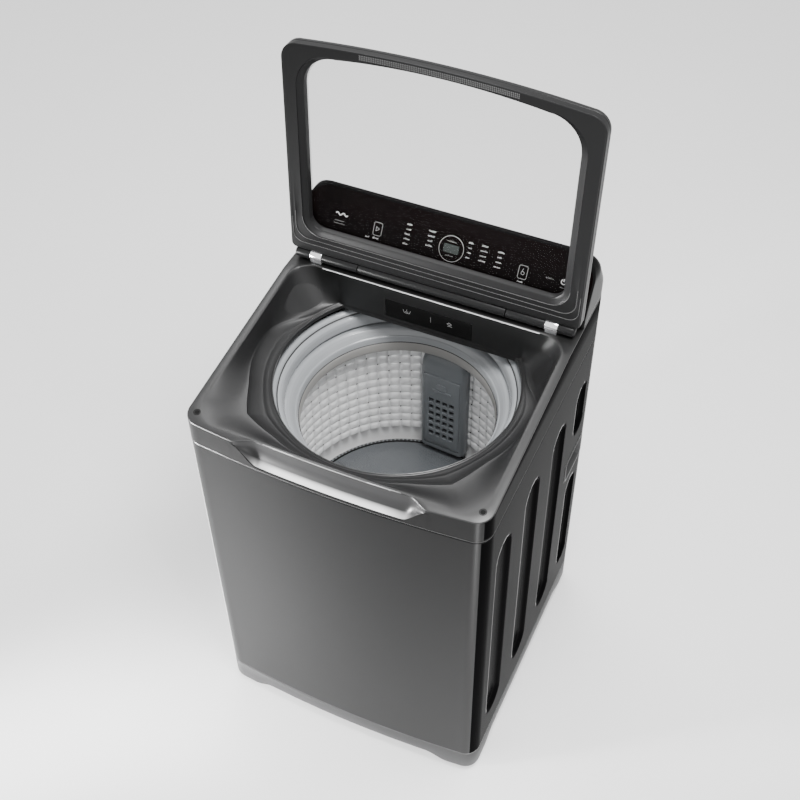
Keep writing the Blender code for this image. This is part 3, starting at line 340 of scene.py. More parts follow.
# ---------------------------------------------------------------- mesh helpers
def place(name, shape, body, slot, look=None, stands_for=(), smooth=35.0, matrix=None):
    """Turn a bmesh into a piece that rides on a body."""
    bmesh.ops.recalc_face_normals(shape, faces=shape.faces)
    mesh = bpy.data.meshes.new(name)
    shape.to_mesh(mesh)
    shape.free()
    if matrix is not None:
        mesh.transform(matrix)
    if smooth:
        mesh.shade_smooth()
        mesh.set_sharp_from_angle(angle=math.radians(smooth))
    piece = bpy.data.objects.new(name, mesh)
    bpy.context.scene.collection.objects.link(piece)
    piece.data.materials.append(LOOKS[look or slot])
    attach(piece, body)
    if stands_for:
        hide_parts(*stands_for)
    return piece


def skin(shape, loops, ring=False, caps=True):
    """Skin equal-length loops in order. A ring joins the last to the first, else the ends may be capped."""
    rows = [[shape.verts.new(point) for point in loop] for loop in loops]
    pairs = list(zip(rows, rows[1:]))
    if ring:
        pairs.append((rows[-1], rows[0]))
    count = len(rows[0])
    for near, far in pairs:
        for index in range(count):
            following = (index + 1) % count
            shape.faces.new((near[index], near[following], far[following], far[index]))
    if not ring and caps:
        shape.faces.new(reversed(rows[0]))
        shape.faces.new(rows[-1])
    return shape


def prism(shape, outline, low, high, matrix=None, edge=0.0):
    """Extrude a flat outline, with its upper edge eased by a small chamfer."""
    matrix = matrix or Matrix.Identity(4)
    if not edge:
        return skin(shape, [[matrix @ Vector((x, y, level)) for x, y in outline] for level in (low, high)])
    middle = Vector((sum(p[0] for p in outline), sum(p[1] for p in outline))) / len(outline)
    reach = max((Vector(p) - middle).length for p in outline)
    loops = []
    for level, drawn in ((low, 0.0), (high - edge, 0.0), (high - edge * 0.3, edge * 0.3), (high, edge)):
        shrink = 1 - drawn / reach
        loops.append([matrix @ Vector((middle.x + (x - middle.x) * shrink,
                                       middle.y + (y - middle.y) * shrink, level)) for x, y in outline])
    return skin(shape, loops)


def box(shape, low, high):
    outline = ((low[0], low[1]), (high[0], low[1]), (high[0], high[1]), (low[0], high[1]))
    return prism(shape, outline, low[2], high[2])


def arc(centre, radius, start, stop, steps):
    angles = [math.radians(start + (stop - start) * i / steps) for i in range(steps + 1)]
    return [(centre[0] + radius * math.cos(a), centre[1] + radius * math.sin(a)) for a in angles]


def circle(radius, segments, centre=(0.0, 0.0)):
    return arc(centre, radius, 0, 360 * (segments - 1) / segments, segments - 1)


def turned(profile, segments, rounded=0.0):
    """Turn (radius, height) points about Z. Ends on the axis make a solid, otherwise a ring."""
    if rounded:
        profile = ease(profile, rounded)
    shape = bmesh.new()
    solid = profile[0][0] == 0.0
    turning = profile[1:-1] if solid else profile
    loops = [[(x, y, height) for x, y in circle(radius, segments)] for radius, height in turning]
    skin(shape, loops, ring=not solid, caps=True)
    return shape


def ease(profile, radius, steps=3):
    """Round the corners of an open profile, or of a closed one that keeps off the axis."""
    closed = profile[0][0] != 0.0
    count = len(profile)
    made = []
    for index, corner in enumerate(profile):
        if not closed and index in (0, count - 1):
            made.append(corner)
            continue
        here = Vector(corner)
        before = Vector(profile[index - 1]) - here
        after = Vector(profile[(index + 1) % count]) - here
        cut = min(radius, before.length * 0.45, after.length * 0.45)
        start = here + before.normalized() * cut
        stop = here + after.normalized() * cut
        for step in range(steps + 1):
            t = step / steps
            point = start * (1 - t) ** 2 + here * 2 * t * (1 - t) + stop * t * t
            made.append((max(point.x, 0.0), point.y))
    return made


def spaced(low, high, step, extra=()):
    """Even stations between two values, with some extra ones among them."""
    count = max(int(round((high - low) / step)), 1)
    values = [low + (high - low) * i / count for i in range(count + 1)] + list(extra)
    values = sorted(set(round(v, 5) for v in values))
    return values


def smoothstep(low, high, value):
    part = min(max((value - low) / (high - low), 0.0), 1.0)
    return part * part * (3 - 2 * part)


def rounded_outline(half, front, rear, front_radius, rear_radius, bow=0.0, arc_steps=8, across=9, along=9):
    """A rounded rectangle, anticlockwise, whose front edge is bowed. Point counts never vary."""
    straight = half - front_radius
    rear_straight = half - rear_radius
    low = front + front_radius
    high = rear - rear_radius
    inner = [i / (across + 1) * 2 - 1 for i in range(1, across + 1)]
    side = [low + (high - low) * i / (along + 1) for i in range(1, along + 1)]
    points = [(part * straight, front - bow * (1 - part * part)) for part in inner]
    points += arc((straight, low), front_radius, -90, 0, arc_steps)
    points += [(half, y) for y in side]
    points += arc((rear_straight, high), rear_radius, 0, 90, arc_steps)
    points += [(-part * rear_straight, rear) for part in inner]
    points += arc((-rear_straight, high), rear_radius, 90, 180, arc_steps)
    points += [(-half, y) for y in reversed(side)]
    points += arc((-straight, low), front_radius, 180, 270, arc_steps)
    return points


def cabinet_outline(inset=0.0, across=121, along=95):
    reach = DEPTH / 2 - inset
    radius = CORNER_RADIUS - inset
    return rounded_outline(WIDTH / 2 - inset, -reach, reach, radius, radius, FRONT_BOW, 10, across, along)


def carve(piece, cutters):
    """Cut holes into a piece with solid shapes, once and for all."""
    for shape in cutters:
        bmesh.ops.recalc_face_normals(shape, faces=shape.faces)
        mesh = bpy.data.meshes.new("cutter")
        shape.to_mesh(mesh)
        shape.free()
        cutter = bpy.data.objects.new("cutter", mesh)
        bpy.context.scene.collection.objects.link(cutter)
        modifier = piece.modifiers.new("cut", "BOOLEAN")
        modifier.solver = "EXACT"
        modifier.object = cutter
        bpy.context.view_layer.update()
        result = bpy.data.meshes.new_from_object(piece.evaluated_get(bpy.context.evaluated_depsgraph_get()))
        piece.modifiers.remove(modifier)
        piece.data = result
        bpy.data.objects.remove(cutter, do_unlink=True)


ALONG_X = Matrix(((0, 0, 1, 0), (1, 0, 0, 0), (0, 1, 0, 0), (0, 0, 0, 1)))
ALONG_Y = Matrix(((1, 0, 0, 0), (0, 0, 1, 0), (0, 1, 0, 0), (0, 0, 0, 1)))
ON_AXIS = Matrix.Translation((0, AXIS_Y, 0))


# ---------------------------------------------------------------- cabinet
def pressed(y, z):
    """How deep the side is pressed in at a place."""
    depth = 0.0
    for low_y, high_y, low_z, high_z in SIDE_GROOVES:
        radius = (high_y - low_y) / 2
        nearest = min(max(z, low_z + radius), high_z - radius)
        off = math.hypot(y - (low_y + high_y) / 2, z - nearest) / radius
        if off < 1:
            depth = max(depth, GROOVE_DEPTH * (1 - off ** 5))
    return depth


def build_wrap():
    half, reach = WIDTH / 2, DEPTH / 2
    low_y, high_y, low_z, high_z = HANDLE
    side = spaced(-STRAIGHT + 0.0, STRAIGHT, 0.0035, (low_y, high_y))
    side = [y for y in side if abs(y) < STRAIGHT - 0.0001 or y == high_y]
    front = [(x, -reach - FRONT_BOW * (1 - (x / STRAIGHT) ** 2)) for x in spaced(-STRAIGHT, STRAIGHT, 0.012)]
    path = [(-RETURN_X, reach), (-0.225, reach)]
    path += arc((-STRAIGHT, STRAIGHT + 0.0005), CORNER_RADIUS, 90, 180, 12)
    path += [(-half, y) for y in reversed(side)]
    path += arc((-STRAIGHT, -STRAIGHT - 0.0005), CORNER_RADIUS, 180, 270, 12)[:-1]
    path += front
    path += arc((STRAIGHT, -STRAIGHT - 0.0005), CORNER_RADIUS, 270, 360, 12)[1:]
    path += [(half, y) for y in side]
    path += arc((STRAIGHT, STRAIGHT + 0.0005), CORNER_RADIUS, 0, 90, 12)
    path += [(0.225, reach), (RETURN_X, reach)]
    levels = spaced(CABINET_BOTTOM, CABINET_TOP, 0.0048, (low_z, high_z))
    shape = bmesh.new()
    rows = []
    for z in levels:
        row = []
        for x, y in path:
            if abs(x) > half - 1e-6:
                x -= math.copysign(pressed(y, z), x)
            row.append(shape.verts.new((x, y, z)))
        rows.append(row)
    for (low, upper), (near, far) in zip(zip(levels, levels[1:]), zip(rows, rows[1:])):
        for index in range(len(path) - 1):
            y = (path[index][1] + path[index + 1][1]) / 2
            on_side = min(abs(path[index][0]), abs(path[index + 1][0])) > half - 1e-6
            if on_side and low_y < y < high_y and low_z < (low + upper) / 2 < high_z:
                continue
            face = shape.faces.new((near[index], near[index + 1], far[index + 1], far[index]))
            # Faces at the bend and on the sides take the darker side paint, which is painted shade.
            bent = max(abs(path[index][0]), abs(path[index + 1][0])) > half - 0.010
            face.material_index = 1 if bent else 0
    # Faces wind outwards here, and an open sheet is left as it is.
    mesh = bpy.data.meshes.new("wrap_pressed")
    shape.normal_update()
    if sum(f.normal.y for f in shape.faces if f.calc_center_median().y < -reach) > 0:
        bmesh.ops.reverse_faces(shape, faces=shape.faces)
    shape.to_mesh(mesh)
    shape.free()
    mesh.shade_smooth()
    mesh.set_sharp_from_angle(angle=math.radians(40))
    wrap = bpy.data.objects.new("wrap_pressed", mesh)
    bpy.context.scene.collection.objects.link(wrap)
    mesh.materials.append(LOOKS["graphite_paint"])
    mesh.materials.append(LOOKS["side_paint_and_shade"])
    thick = wrap.modifiers.new("sheet", "SOLIDIFY")
    thick.thickness = SHEET
    thick.offset = -1.0
    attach(wrap, "cabinet")
    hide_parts("cabinet_wrap")

    rim = bmesh.new()
    bands = ((0.0014, 0.7366), (0.0, 0.7374), (-0.0002, 0.7378), (0.0, CABINET_TOP), (0.0014, CABINET_TOP))
    skin(rim, [[(x, y, z) for x, y in cabinet_outline(inset)] for inset, z in bands], ring=True)
    place("wrap_raw_edge", rim, "cabinet", "graphite_paint", "soft_trim_and_highlight")


def build_handles():
    low_y, high_y, low_z, high_z = HANDLE
    middle = ((low_y + high_y) / 2, (low_z + high_z) / 2)
    half_y, half_z = (high_y - low_y) / 2, (high_z - low_z) / 2
    for side, sign in (("left", -1), ("right", 1)):
        rows = ((-0.0022, HANDLE_DEPTH), (-0.0004, 0.004), (-0.0004, 0.0018), (0.0018, 0.0),
                (0.0020, -0.0006), (0.0010, -0.0010), (-0.0020, -0.0006), (-0.0034, 0.0015),
                (-0.0050, 0.016), (-0.0075, 0.0215), (-0.0130, 0.0235))
        loops = []
        for grow, depth in rows:
            outline = rounded_outline(half_y + grow, -half_z - grow, half_z + grow, 0.010 + grow / 2,
                                      0.010 + grow / 2, 0.0, 6, 3, 3)
            loops.append([(sign * (WIDTH / 2 - depth), middle[0] + a, middle[1] + b) for a, b in outline])
        place(f"grip_cup_{side}", skin(bmesh.new(), loops), "cabinet", "dark_plastic",
              stands_for=(f"handle_cup_{side}",))


def base_bottom(x, y):
    """Lower edge of the base: feet blocks at the corners, a raised skirt between them."""
    off = min(1.0, max(0.0, (0.215 - min(abs(x), abs(y)) if max(abs(x), abs(y)) > 0.22 else 1.0) / 0.045))
    return FOOT_BOTTOM + (SKIRT_BOTTOM - FOOT_BOTTOM) * smoothstep(0.0, 1.0, off)


def build_base():
    top = CABINET_BOTTOM - 0.0003
    rows = ((0.012, lambda low: 0.031), (0.0050, lambda low: 0.031), (0.0050, lambda low: top - 0.001),
            (0.0012, lambda low: top), (0.0004, lambda low: top - 0.0004),
            (0.0006, lambda low: top - 0.0040), (0.0, lambda low: top - 0.0050),
            (0.0, lambda low: low + 0.0060), (0.0008, lambda low: low + 0.0025),
            (0.0028, lambda low: low + 0.0006), (0.0060, lambda low: low), (0.058, lambda low: low),
            (0.060, lambda low: max(low, 0.0265)))
    loops = []
    for inset, level in rows:
        inner = min(inset, 0.026)
        outline = cabinet_outline(inner)
        shrink = inset - inner
        loop = []
        for (x, y), (x0, y0) in zip(outline, cabinet_outline()):
            scale = 1 - shrink / 0.27
            loop.append((x * scale, y * scale, level(base_bottom(x0, y0))))
        loops.append(loop)
    place("base_moulding", skin(bmesh.new(), loops), "cabinet", "dark_plastic", stands_for=("base_frame",))


def screw(shape, spot, outward, radius=0.004):
    """A pan head screw: a domed head with a shallow round dip in its middle."""
    turn = Vector((0, 0, 1)).rotation_difference(Vector(outward)).to_matrix().to_4x4()
    matrix = Matrix.Translation(spot) @ turn
    profile = [(radius, 0.0), (radius, 0.0008), (radius * 0.8, 0.0017), (radius * 0.45, 0.0021),
               (radius * 0.35, 0.0012), (radius * 0.05, 0.0010)]
    skin(shape, [[matrix @ Vector((x, y, z)) for x, y in circle(r, 14)] for r, z in profile])


def build_rear():
    back = DEPTH / 2
    half = RETURN_X - 0.0005
    columns = spaced(-half, half, 0.006)
    levels = spaced(CABINET_BOTTOM + 0.0003, CABINET_TOP - 0.0003, 0.006)

    def bead(x, z):
        """Raised stiffening beads: a frame round the panel and crosswise ribs above the cover."""
        rim = min(half - abs(x), z - CABINET_BOTTOM, CABINET_TOP - z)
        depth = 0.0014 * smoothstep(0.012, 0.018, rim)
        for height in (0.520, 0.570, 0.620, 0.670):
            off = math.hypot(max(abs(x) - 0.130, 0.0), z - height)
            depth -= 0.0014 * (1 - smoothstep(0.004, 0.010, off))
        return max(depth, 0.0)

    shape = bmesh.new()
    grid = [[shape.verts.new((x, back - bead(x, z), z)) for x in columns] for z in levels]
    inner = [[shape.verts.new((x, back - SHEET - bead(x, z), z)) for x in columns] for z in levels]
    for rows, flip in ((grid, True), (inner, False)):
        for near, far in zip(rows, rows[1:]):
            for i in range(len(columns) - 1):
                quad = (near[i], near[i + 1], far[i + 1], far[i])
                shape.faces.new(reversed(quad) if flip else quad)
    edge = [(0, i) for i in range(len(columns))] + [(j, len(columns) - 1) for j in range(1, len(levels))]
    edge += [(len(levels) - 1, i) for i in reversed(range(len(columns) - 1))]
    edge += [(j, 0) for j in reversed(range(1, len(levels) - 1))]
    for (a, b), (c, d) in zip(edge, edge[1:] + edge[:1]):
        shape.faces.new((grid[a][b], grid[c][d], inner[c][d], inner[a][b]))
    place("rear_sheet", shape, "cabinet", "galvanised_steel", stands_for=("rear_panel",), smooth=50)

    cover = bmesh.new()
    rows = ((0.0, 0.0003), (0.0, 0.0020), (0.0010, 0.0030), (0.0090, 0.0030), (0.0110, 0.0020),
            (0.0180, 0.0020), (0.0200, 0.0030))
    loops = []
    for inset, height in rows:
        outline = rounded_outline(0.115 - inset, -0.145 + inset, 0.145 - inset,
                                  max(0.012 - inset / 2, 0.003), max(0.012 - inset / 2, 0.003), 0.0, 6, 3, 3)
        loops.append([(x, back + height, 0.32 + z) for x, z in outline])
    place("service_cover", skin(cover, loops), "cabinet", "galvanised_steel",
          stands_for=("rear_service_cover",))

    screws = bmesh.new()
    for x in (-0.106, 0.106):
        for z in (0.186, 0.276, 0.364, 0.454):
            screw(screws, (x, back + 0.0028, z), (0, 1, 0))
    for x in (-0.205, 0.205):
        for z in (0.085, 0.240, 0.400, 0.560, 0.720):
            screw(screws, (x, back - 0.0002, z), (0, 1, 0))
    for x in (-0.230, -0.080, 0.080, 0.230):
        screw(screws, (x, back - 0.0003, 0.752), (0, 1, 0))
    place("rear_screws", screws, "cabinet", "steel")

    # Vent slots drawn as dark pads: painted shade for the openings.
    slots = bmesh.new()
    for column in range(-3, 4):
        for row in range(4):
            spot = (column * 0.020, 0.395 + row * 0.012)
            outline = rounded_outline(0.0075, -0.0022, 0.0022, 0.0021, 0.0021, 0.0, 4, 1, 1)
            prism(slots, [(spot[0] + x, spot[1] + z) for x, z in outline], back + 0.0022, back + 0.0034,
                  ALONG_Y)
    place("service_cover_vents", slots, "cabinet", "galvanised_steel", "painted_gap_shade")

    lift = Matrix.Rotation(math.radians(-90), 4, "X")
    reach = back + FRONT_BOW
    drain = [(0.0, 0.236), (0.0140, 0.236), (0.0148, 0.240), (0.0148, back), (0.024, back + 0.0003),
             (0.024, back + 0.003), (0.0150, back + 0.004), (0.0140, back + 0.006), (0.0150, back + 0.008),
             (0.0140, reach), (0.0110, reach), (0.0105, back + 0.002), (0.0, back + 0.002)]
    place("drain_spigot", turned(drain, 40, 0.0006), "cabinet", "dark_plastic", stands_for=("drain_outlet",),
          matrix=Matrix.Translation((-0.165, 0, 0.110)) @ lift)
    gland = [(0.0, 0.255), (0.0075, 0.255), (0.0075, back), (0.0125, back + 0.0003), (0.0125, back + 0.003),
             (0.0080, back + 0.004), (0.0062, back + 0.011), (0.0040, back + 0.0112), (0.0036, back + 0.008),
             (0.0, back + 0.008)]
    place("cord_grommet", turned(gland, 32, 0.0006), "cabinet", "dark_plastic", stands_for=("cord_gland",),
          matrix=Matrix.Translation((0.170, 0, 0.690)) @ lift)
    ridges = []
    for index in range(6):
        start = back + 0.0008 + index * 0.0018
        ridges += [(0.0130, start), (0.0124, start + 0.0009)]
    inlet = [(0.0, 0.215), (0.020, 0.215), (0.020, 0.252), (0.0175, back - 0.0033), (0.0130, back - 0.0033)]
    inlet += ridges + [(0.0124, reach), (0.0095, reach), (0.0090, back + 0.001), (0.0, back + 0.001)]
    place("inlet_thread", turned(inlet, 40, 0.0004), "cabinet", "white_plastic", stands_for=("inlet_valve",),
          matrix=Matrix.Translation((-0.175, 0, 0.785)) @ lift)


# ---------------------------------------------------------------- top cover
def cover_top(y):
    return min(COVER_FRONT_TOP + (y + DEPTH / 2) * math.tan(COVER_SLOPE), COVER_DECK)


def scoop_depth(x, y):
    """How far the finger scoop sets the skirt's front back where it is deepest."""
    if y > -DEPTH / 2 + CORNER_RADIUS:
        return 0.0
    return SCOOP_DEPTH * (1 - smoothstep(*SCOOP_ENDS, abs(x)))


def scoop_loop(share, cove):
    """Loop of the skirt inside the scoop's height: a shelf that curves up into a wall.

    The scoop's lower edge climbs towards both ends, and the loops climb with it.
    """
    loop = []
    for x, y in cabinet_outline():
        foot = SCOOP_FOOT
        if y < -DEPTH / 2 + CORNER_RADIUS:
            foot += 0.034 * smoothstep(0.128, 0.172, abs(x)) * (1 - smoothstep(0.178, 0.225, abs(x)))
        loop.append((x, y + scoop_depth(x, y) * cove, foot + share * (SCOOP_TOP - foot)))
    return loop


def skirt_loop(inset, height, scooped=1.0):
    loop = []
    for x, y in cabinet_outline(inset):
        z = height(y) if callable(height) else height
        loop.append((x, y + scoop_depth(x, y) * scooped, z))
    return loop


def ray_length(angle, half, front, rear, front_radius, rear_radius):
    """Distance from the wash axis to a rounded rectangle in one direction."""
    across, along = math.cos(angle), math.sin(angle)
    reach = half / max(abs(across), 1e-9)
    edge = rear - AXIS_Y if along > 0 else AXIS_Y - front
    reach = min(reach, edge / max(abs(along), 1e-9))
    x, y = abs(across * reach), AXIS_Y + along * reach
    radius = rear_radius if along > 0 else front_radius
    centre_x = half - radius
    centre_y = (rear - radius if along > 0 else front + radius) - AXIS_Y
    beyond = y - AXIS_Y > centre_y if along > 0 else y - AXIS_Y < centre_y
    if x > centre_x and beyond:
        toward = abs(across) * centre_x + along * centre_y
        room = toward * toward - (centre_x ** 2 + centre_y ** 2 - radius ** 2)
        reach = toward + math.sqrt(max(room, 0.0))
    return reach


def funnel_radius(angle):
    off_corner = abs(abs(math.degrees(angle) + 90) - 44)
    point = 0.0145 * max(0.0, 1 - off_corner / 16) ** 1.3
    front = 0.009 * max(0.0, -math.sin(angle)) ** 8
    rear = 0.030 * smoothstep(0.0, 0.41, math.sin(angle))
    return 0.250 + point - front - rear


def ring_loop(angles, radius, wall_y, height):
    """Loop about the wash axis whose rear is cut straight at wall_y."""
    loop = []
    for angle in angles:
        reach = radius(angle) if callable(radius) else radius
        rise = math.sin(angle)
        if rise > 0:
            reach = min(reach, (wall_y - AXIS_Y) / rise)
        z = height(angle) if callable(height) else height
        loop.append((reach * math.cos(angle), AXIS_Y + reach * rise, z))
    return loop


def rim_loop(angles, grow, drop):
    """Edge of the recess: crisp along the sides and rear, and fading out towards the front."""
    loop = []
    for angle in angles:
        reach = ray_length(angle, 0.254 + grow, -0.2605 - grow / 2, BACK_WALL_Y + grow, 0.045, 0.040)
        x, y = reach * math.cos(angle), AXIS_Y + reach * math.sin(angle)
        loop.append((x, y, cover_top(y) - drop * (0.1 + 0.9 * smoothstep(-0.80, -0.30, math.sin(angle)))))
    return loop


def funnel_height(angle):
    return 0.775 - 0.016 * smoothstep(-0.2, 0.45, math.sin(angle))


def between(outer, inner, part, fall):
    """Loop part of the way from one to another; fall says how much of the height is lost by then."""
    return [(a[0] + (b[0] - a[0]) * part, a[1] + (b[1] - a[1]) * part, a[2] + (b[2] - a[2]) * fall)
            for a, b in zip(outer, inner)]


def recess_wall(rim, funnel, angles, part):
    """Wall of the recess: steep at the sides, a shallow dish at the front corners."""
    loop = []
    for (ax, ay, az), (bx, by, bz), angle in zip(rim, funnel, angles):
        side = smoothstep(-0.80, -0.30, math.sin(angle))
        fall = side * (1 - (1 - part) ** 1.6) + (1 - side) * part * part * (3 - 2 * part)
        loop.append((ax + (bx - ax) * part, ay + (by - ay) * part, az + (bz - az) * fall))
    return loop


def build_top_cover():
    angles = [math.atan2(y - AXIS_Y, x) for x, y in cabinet_outline()]
    wall, deck = COVER_WALL, BACK_WALL_Y
    rim = rim_loop(angles, 0.0, 0.0015)
    funnel = ring_loop(angles, funnel_radius, deck, funnel_height)
    mouth = ring_loop(angles, MOUTH_RADIUS + 0.004, deck - 0.0005, 0.7555)
    loops = [skirt_loop(0.0, COVER_BOTTOM, 0.0)]
    bend = [i / 14 * math.pi / 2 for i in range(15)]
    loops += [scoop_loop(0.60 * (1 - math.cos(turn)), math.sin(turn)) for turn in bend]
    loops += [scoop_loop(share, 1.0) for share in (0.70, 0.85, 1.0)]
    loops += [skirt_loop(0.0, lambda y: cover_top(y) - 0.0018),
              skirt_loop(0.0005, lambda y: cover_top(y) - 0.0006), skirt_loop(0.0016, cover_top)]
    loops += [rim_loop(angles, 0.0035, 0.0), rim_loop(angles, 0.0015, 0.0004), rim]
    loops += [recess_wall(rim, funnel, angles, part) for part in
              (0.05, 0.12, 0.22, 0.35, 0.50, 0.65, 0.80, 0.90, 0.96)]
    loops += [funnel]
    loops += [between(funnel, mouth, part, fall) for part, fall in
              ((0.04, 0.10), (0.14, 0.27), (0.28, 0.44), (0.42, 0.57), (0.54, 0.66), (0.62, 0.70),
               (0.66, 0.71), (0.70, 0.77), (0.78, 0.86), (0.86, 0.91), (0.90, 0.92), (0.94, 0.96))]
    loops += [
        mouth,
        ring_loop(angles, MOUTH_RADIUS + 0.0025, deck - 0.0006, 0.7563),
        ring_loop(angles, MOUTH_RADIUS + 0.0008, deck - 0.0008, 0.7555),
        ring_loop(angles, MOUTH_RADIUS, deck - 0.001, 0.7530),
        ring_loop(angles, MOUTH_RADIUS + 0.0005, deck - 0.001, MOUTH_BOTTOM),
        ring_loop(angles, MOUTH_RADIUS + 0.005, deck + wall, MOUTH_BOTTOM),
        ring_loop(angles, lambda a: funnel_radius(a) + wall, deck + wall + 0.001,
                  lambda a: funnel_height(a) - 0.004),
        rim_loop(angles, wall, 0.0045),
        skirt_loop(wall, lambda y: cover_top(y) - wall),
        skirt_loop(wall, 0.776),
        skirt_loop(wall, 0.742),
        skirt_loop(wall, COVER_BOTTOM, 0.0),
    ]
    shape = skin(bmesh.new(), loops, ring=True)
    cover = place("cover_moulding", shape, "cabinet", "cover_plastic", "cover_recessed",
                  stands_for=("top_cover",), smooth=38)
    drawer_hole = box(bmesh.new(), (-0.083, 0.100, 0.762), (0.083, 0.1195, 0.802))
    inlet_hole = prism(bmesh.new(), circle(0.0136, 24, (-0.175, 0.785)), 0.262, 0.280, ALONG_Y)
    carve(cover, (drawer_hole, inlet_hole))
    paint_cover(cover)

    # A light bead along the recess's rear edge: a painted highlight on the cover's rounded edge.
    bead = bmesh.new()
    rows = []
    for x in spaced(-0.205, 0.205, 0.01):
        rows.append([(x, deck - 0.0006 + 0.0011 * math.cos(a), COVER_DECK - 0.0008 + 0.0011 * math.sin(a))
                     for a in (i * math.pi / 4 for i in range(8))])
    place("recess_edge_highlight", skin(bead, rows), "cabinet", "cover_plastic", "painted_edge_highlight", smooth=60)

    # A lighter bead on the mouth's lip: painted highlight along the lip's edge.
    lip = bmesh.new()
    rows = [(0.2116, 0.7553), (0.2112, 0.7561), (0.2116, 0.7567), (0.2122, 0.7564), (0.2122, 0.7555)]
    front = [math.radians(a) for a in spaced(-172, -8, 2)]
    arcs = [[(r * math.cos(a), AXIS_Y + r * math.sin(a), z) for r, z in rows] for a in front]
    place("mouth_edge_bead", skin(lip, arcs), "cabinet", "cover_plastic", "soft_trim_and_highlight",
          smooth=60)

    for side, sign in (("left", -1), ("right", 1)):
        shape = turned([(0.0, -0.0004), (0.0062, -0.0004), (0.0062, 0.0003), (0.0050, 0.0004),
                        (0.0047, -0.0001), (0.0040, 0.0006), (0.0, 0.0009)], 32)
        seat = Vector((sign * 0.252, -0.2465, cover_top(-0.2465) - 0.0002))
        matrix = Matrix.Translation(seat) @ Matrix.Rotation(COVER_SLOPE, 4, "X")
        place(f"screw_plug_{side}", shape, "cabinet", "dark_plastic", stands_for=(f"screw_cap_{side}",),
              matrix=matrix, look="recess_plastic")


def paint_cover(cover):
    """The skirt's front carries the cabinet's steel look, its sides the darker side paint that is painted
    shade, and the scoop the plastic with a painted shelf highlight.
    """
    for look in ("graphite_paint", "side_paint_and_shade", "scoop_painted_highlight"):
        cover.data.materials.append(LOOKS[look])
    for face in cover.data.polygons:
        x, y, z = face.center
        front = -DEPTH / 2 - FRONT_BOW * (1 - min(abs(x) / STRAIGHT, 1.0) ** 2)
        if z > cover_top(y) - 0.0015:
            continue
        if abs(x) > WIDTH / 2 - 0.010:
            face.material_index = 2
        elif y < front + 0.0010 or y > DEPTH / 2 - 0.004 or (abs(x) > STRAIGHT and y < -0.258):
            face.material_index = 1
        # Faces of the scoop take the plastic with the painted shelf highlight.
        elif y < -0.2612 and abs(x) < 0.178:
            face.material_index = 3


# ---------------------------------------------------------------- console
def console_loop(level, inset):
    half = WIDTH / 2 - 0.0003
    shoulder = CONSOLE_TOP - CONSOLE_END_RADIUS
    if level > shoulder:
        rise = min(level - shoulder, CONSOLE_END_RADIUS)
        half -= CONSOLE_END_RADIUS - math.sqrt(CONSOLE_END_RADIUS ** 2 - rise ** 2)
    slope = (PANEL_HEAD[0] - PANEL_FOOT[0]) / (PANEL_HEAD[1] - PANEL_FOOT[1])
    front = PANEL_FOOT[0] + max(level - PANEL_FOOT[1], 0.0) * slope
    back_low = 0.862
    rear = DEPTH / 2 - 0.0003
    if level > back_low:
        climb = min((level - back_low) / (CONSOLE_TOP - back_low), 1.0)
        rear = CONSOLE_RIDGE + (rear - CONSOLE_RIDGE) * (1 - climb ** 1.25)
    thickness = rear - front - 2 * inset
    front_radius = min(0.006, thickness * 0.4)
    rear_radius = min(CORNER_RADIUS, thickness * 0.45)
    outline = rounded_outline(half - inset, front + inset, rear - inset, front_radius, rear_radius, 0.0, 8,
                              11, 5)
    return [(x, y, level) for x, y in outline]


def slope_matrix():
    """Places the control panel's own plane: X across, Y up the slope, Z off it."""
    rise = PANEL_HEAD[1] - PANEL_FOOT[1]
    run = PANEL_HEAD[0] - PANEL_FOOT[0]
    return Matrix.Translation((0, *PANEL_FOOT)) @ Matrix.Rotation(math.atan2(rise, run), 4, "X")


def build_console():
    low = COVER_DECK + 0.0003
    levels = [low, low + 0.001, 0.840, PANEL_FOOT[1]] + spaced(0.856, 0.904, 0.006)
    levels += [CONSOLE_TOP - CONSOLE_END_RADIUS * (1 - math.sin(math.radians(a))) for a in range(6, 85, 6)]
    levels += [CONSOLE_TOP - 0.0001]
    loops = [console_loop(level, 0.0008 if level == low else 0.0) for level in sorted(levels)]
    place("console_shell", skin(bmesh.new(), loops), "cabinet", "cover_plastic", "console_paint",
          stands_for=("console_body",), smooth=40)

    on_slope = slope_matrix()
    length = math.hypot(PANEL_HEAD[0] - PANEL_FOOT[0], PANEL_HEAD[1] - PANEL_FOOT[1])
    rows = ((0.0, 0.0003), (0.0, 0.0020), (0.0003, 0.0025), (0.0009, PANEL_THICKNESS))
    loops = []
    for inset, height in rows:
        outline = rounded_outline(0.2675 - inset, 0.002 + inset, length - 0.0005 - inset, 0.010 - inset,
                                  0.047 - inset, 0.0, 12, 3, 3)
        loops.append([(x, y, height) for x, y in outline])
    place("panel_fascia", skin(bmesh.new(), loops), "cabinet", "gloss_panel", stands_for=("control_panel",),
          matrix=on_slope)
    build_marks(on_slope)


def stroke(shape, points, width, closed=False):
    """A flat line of even width along some points, raised a hair off the panel."""
    low, high = PANEL_THICKNESS - 0.0001, PANEL_THICKNESS + 0.00018
    ends = list(zip(points, points[1:] + points[:1] if closed else points[1:]))
    for (ax, ay), (bx, by) in ends:
        along = Vector((bx - ax, by - ay))
        if along.length < 1e-7:
            continue
        side = Vector((-along.y, along.x)).normalized() * width / 2
        outline = [(ax - side.x, ay - side.y), (bx - side.x, by - side.y), (bx + side.x, by + side.y),
                   (ax + side.x, ay + side.y)]
        prism(shape, outline, low, high)


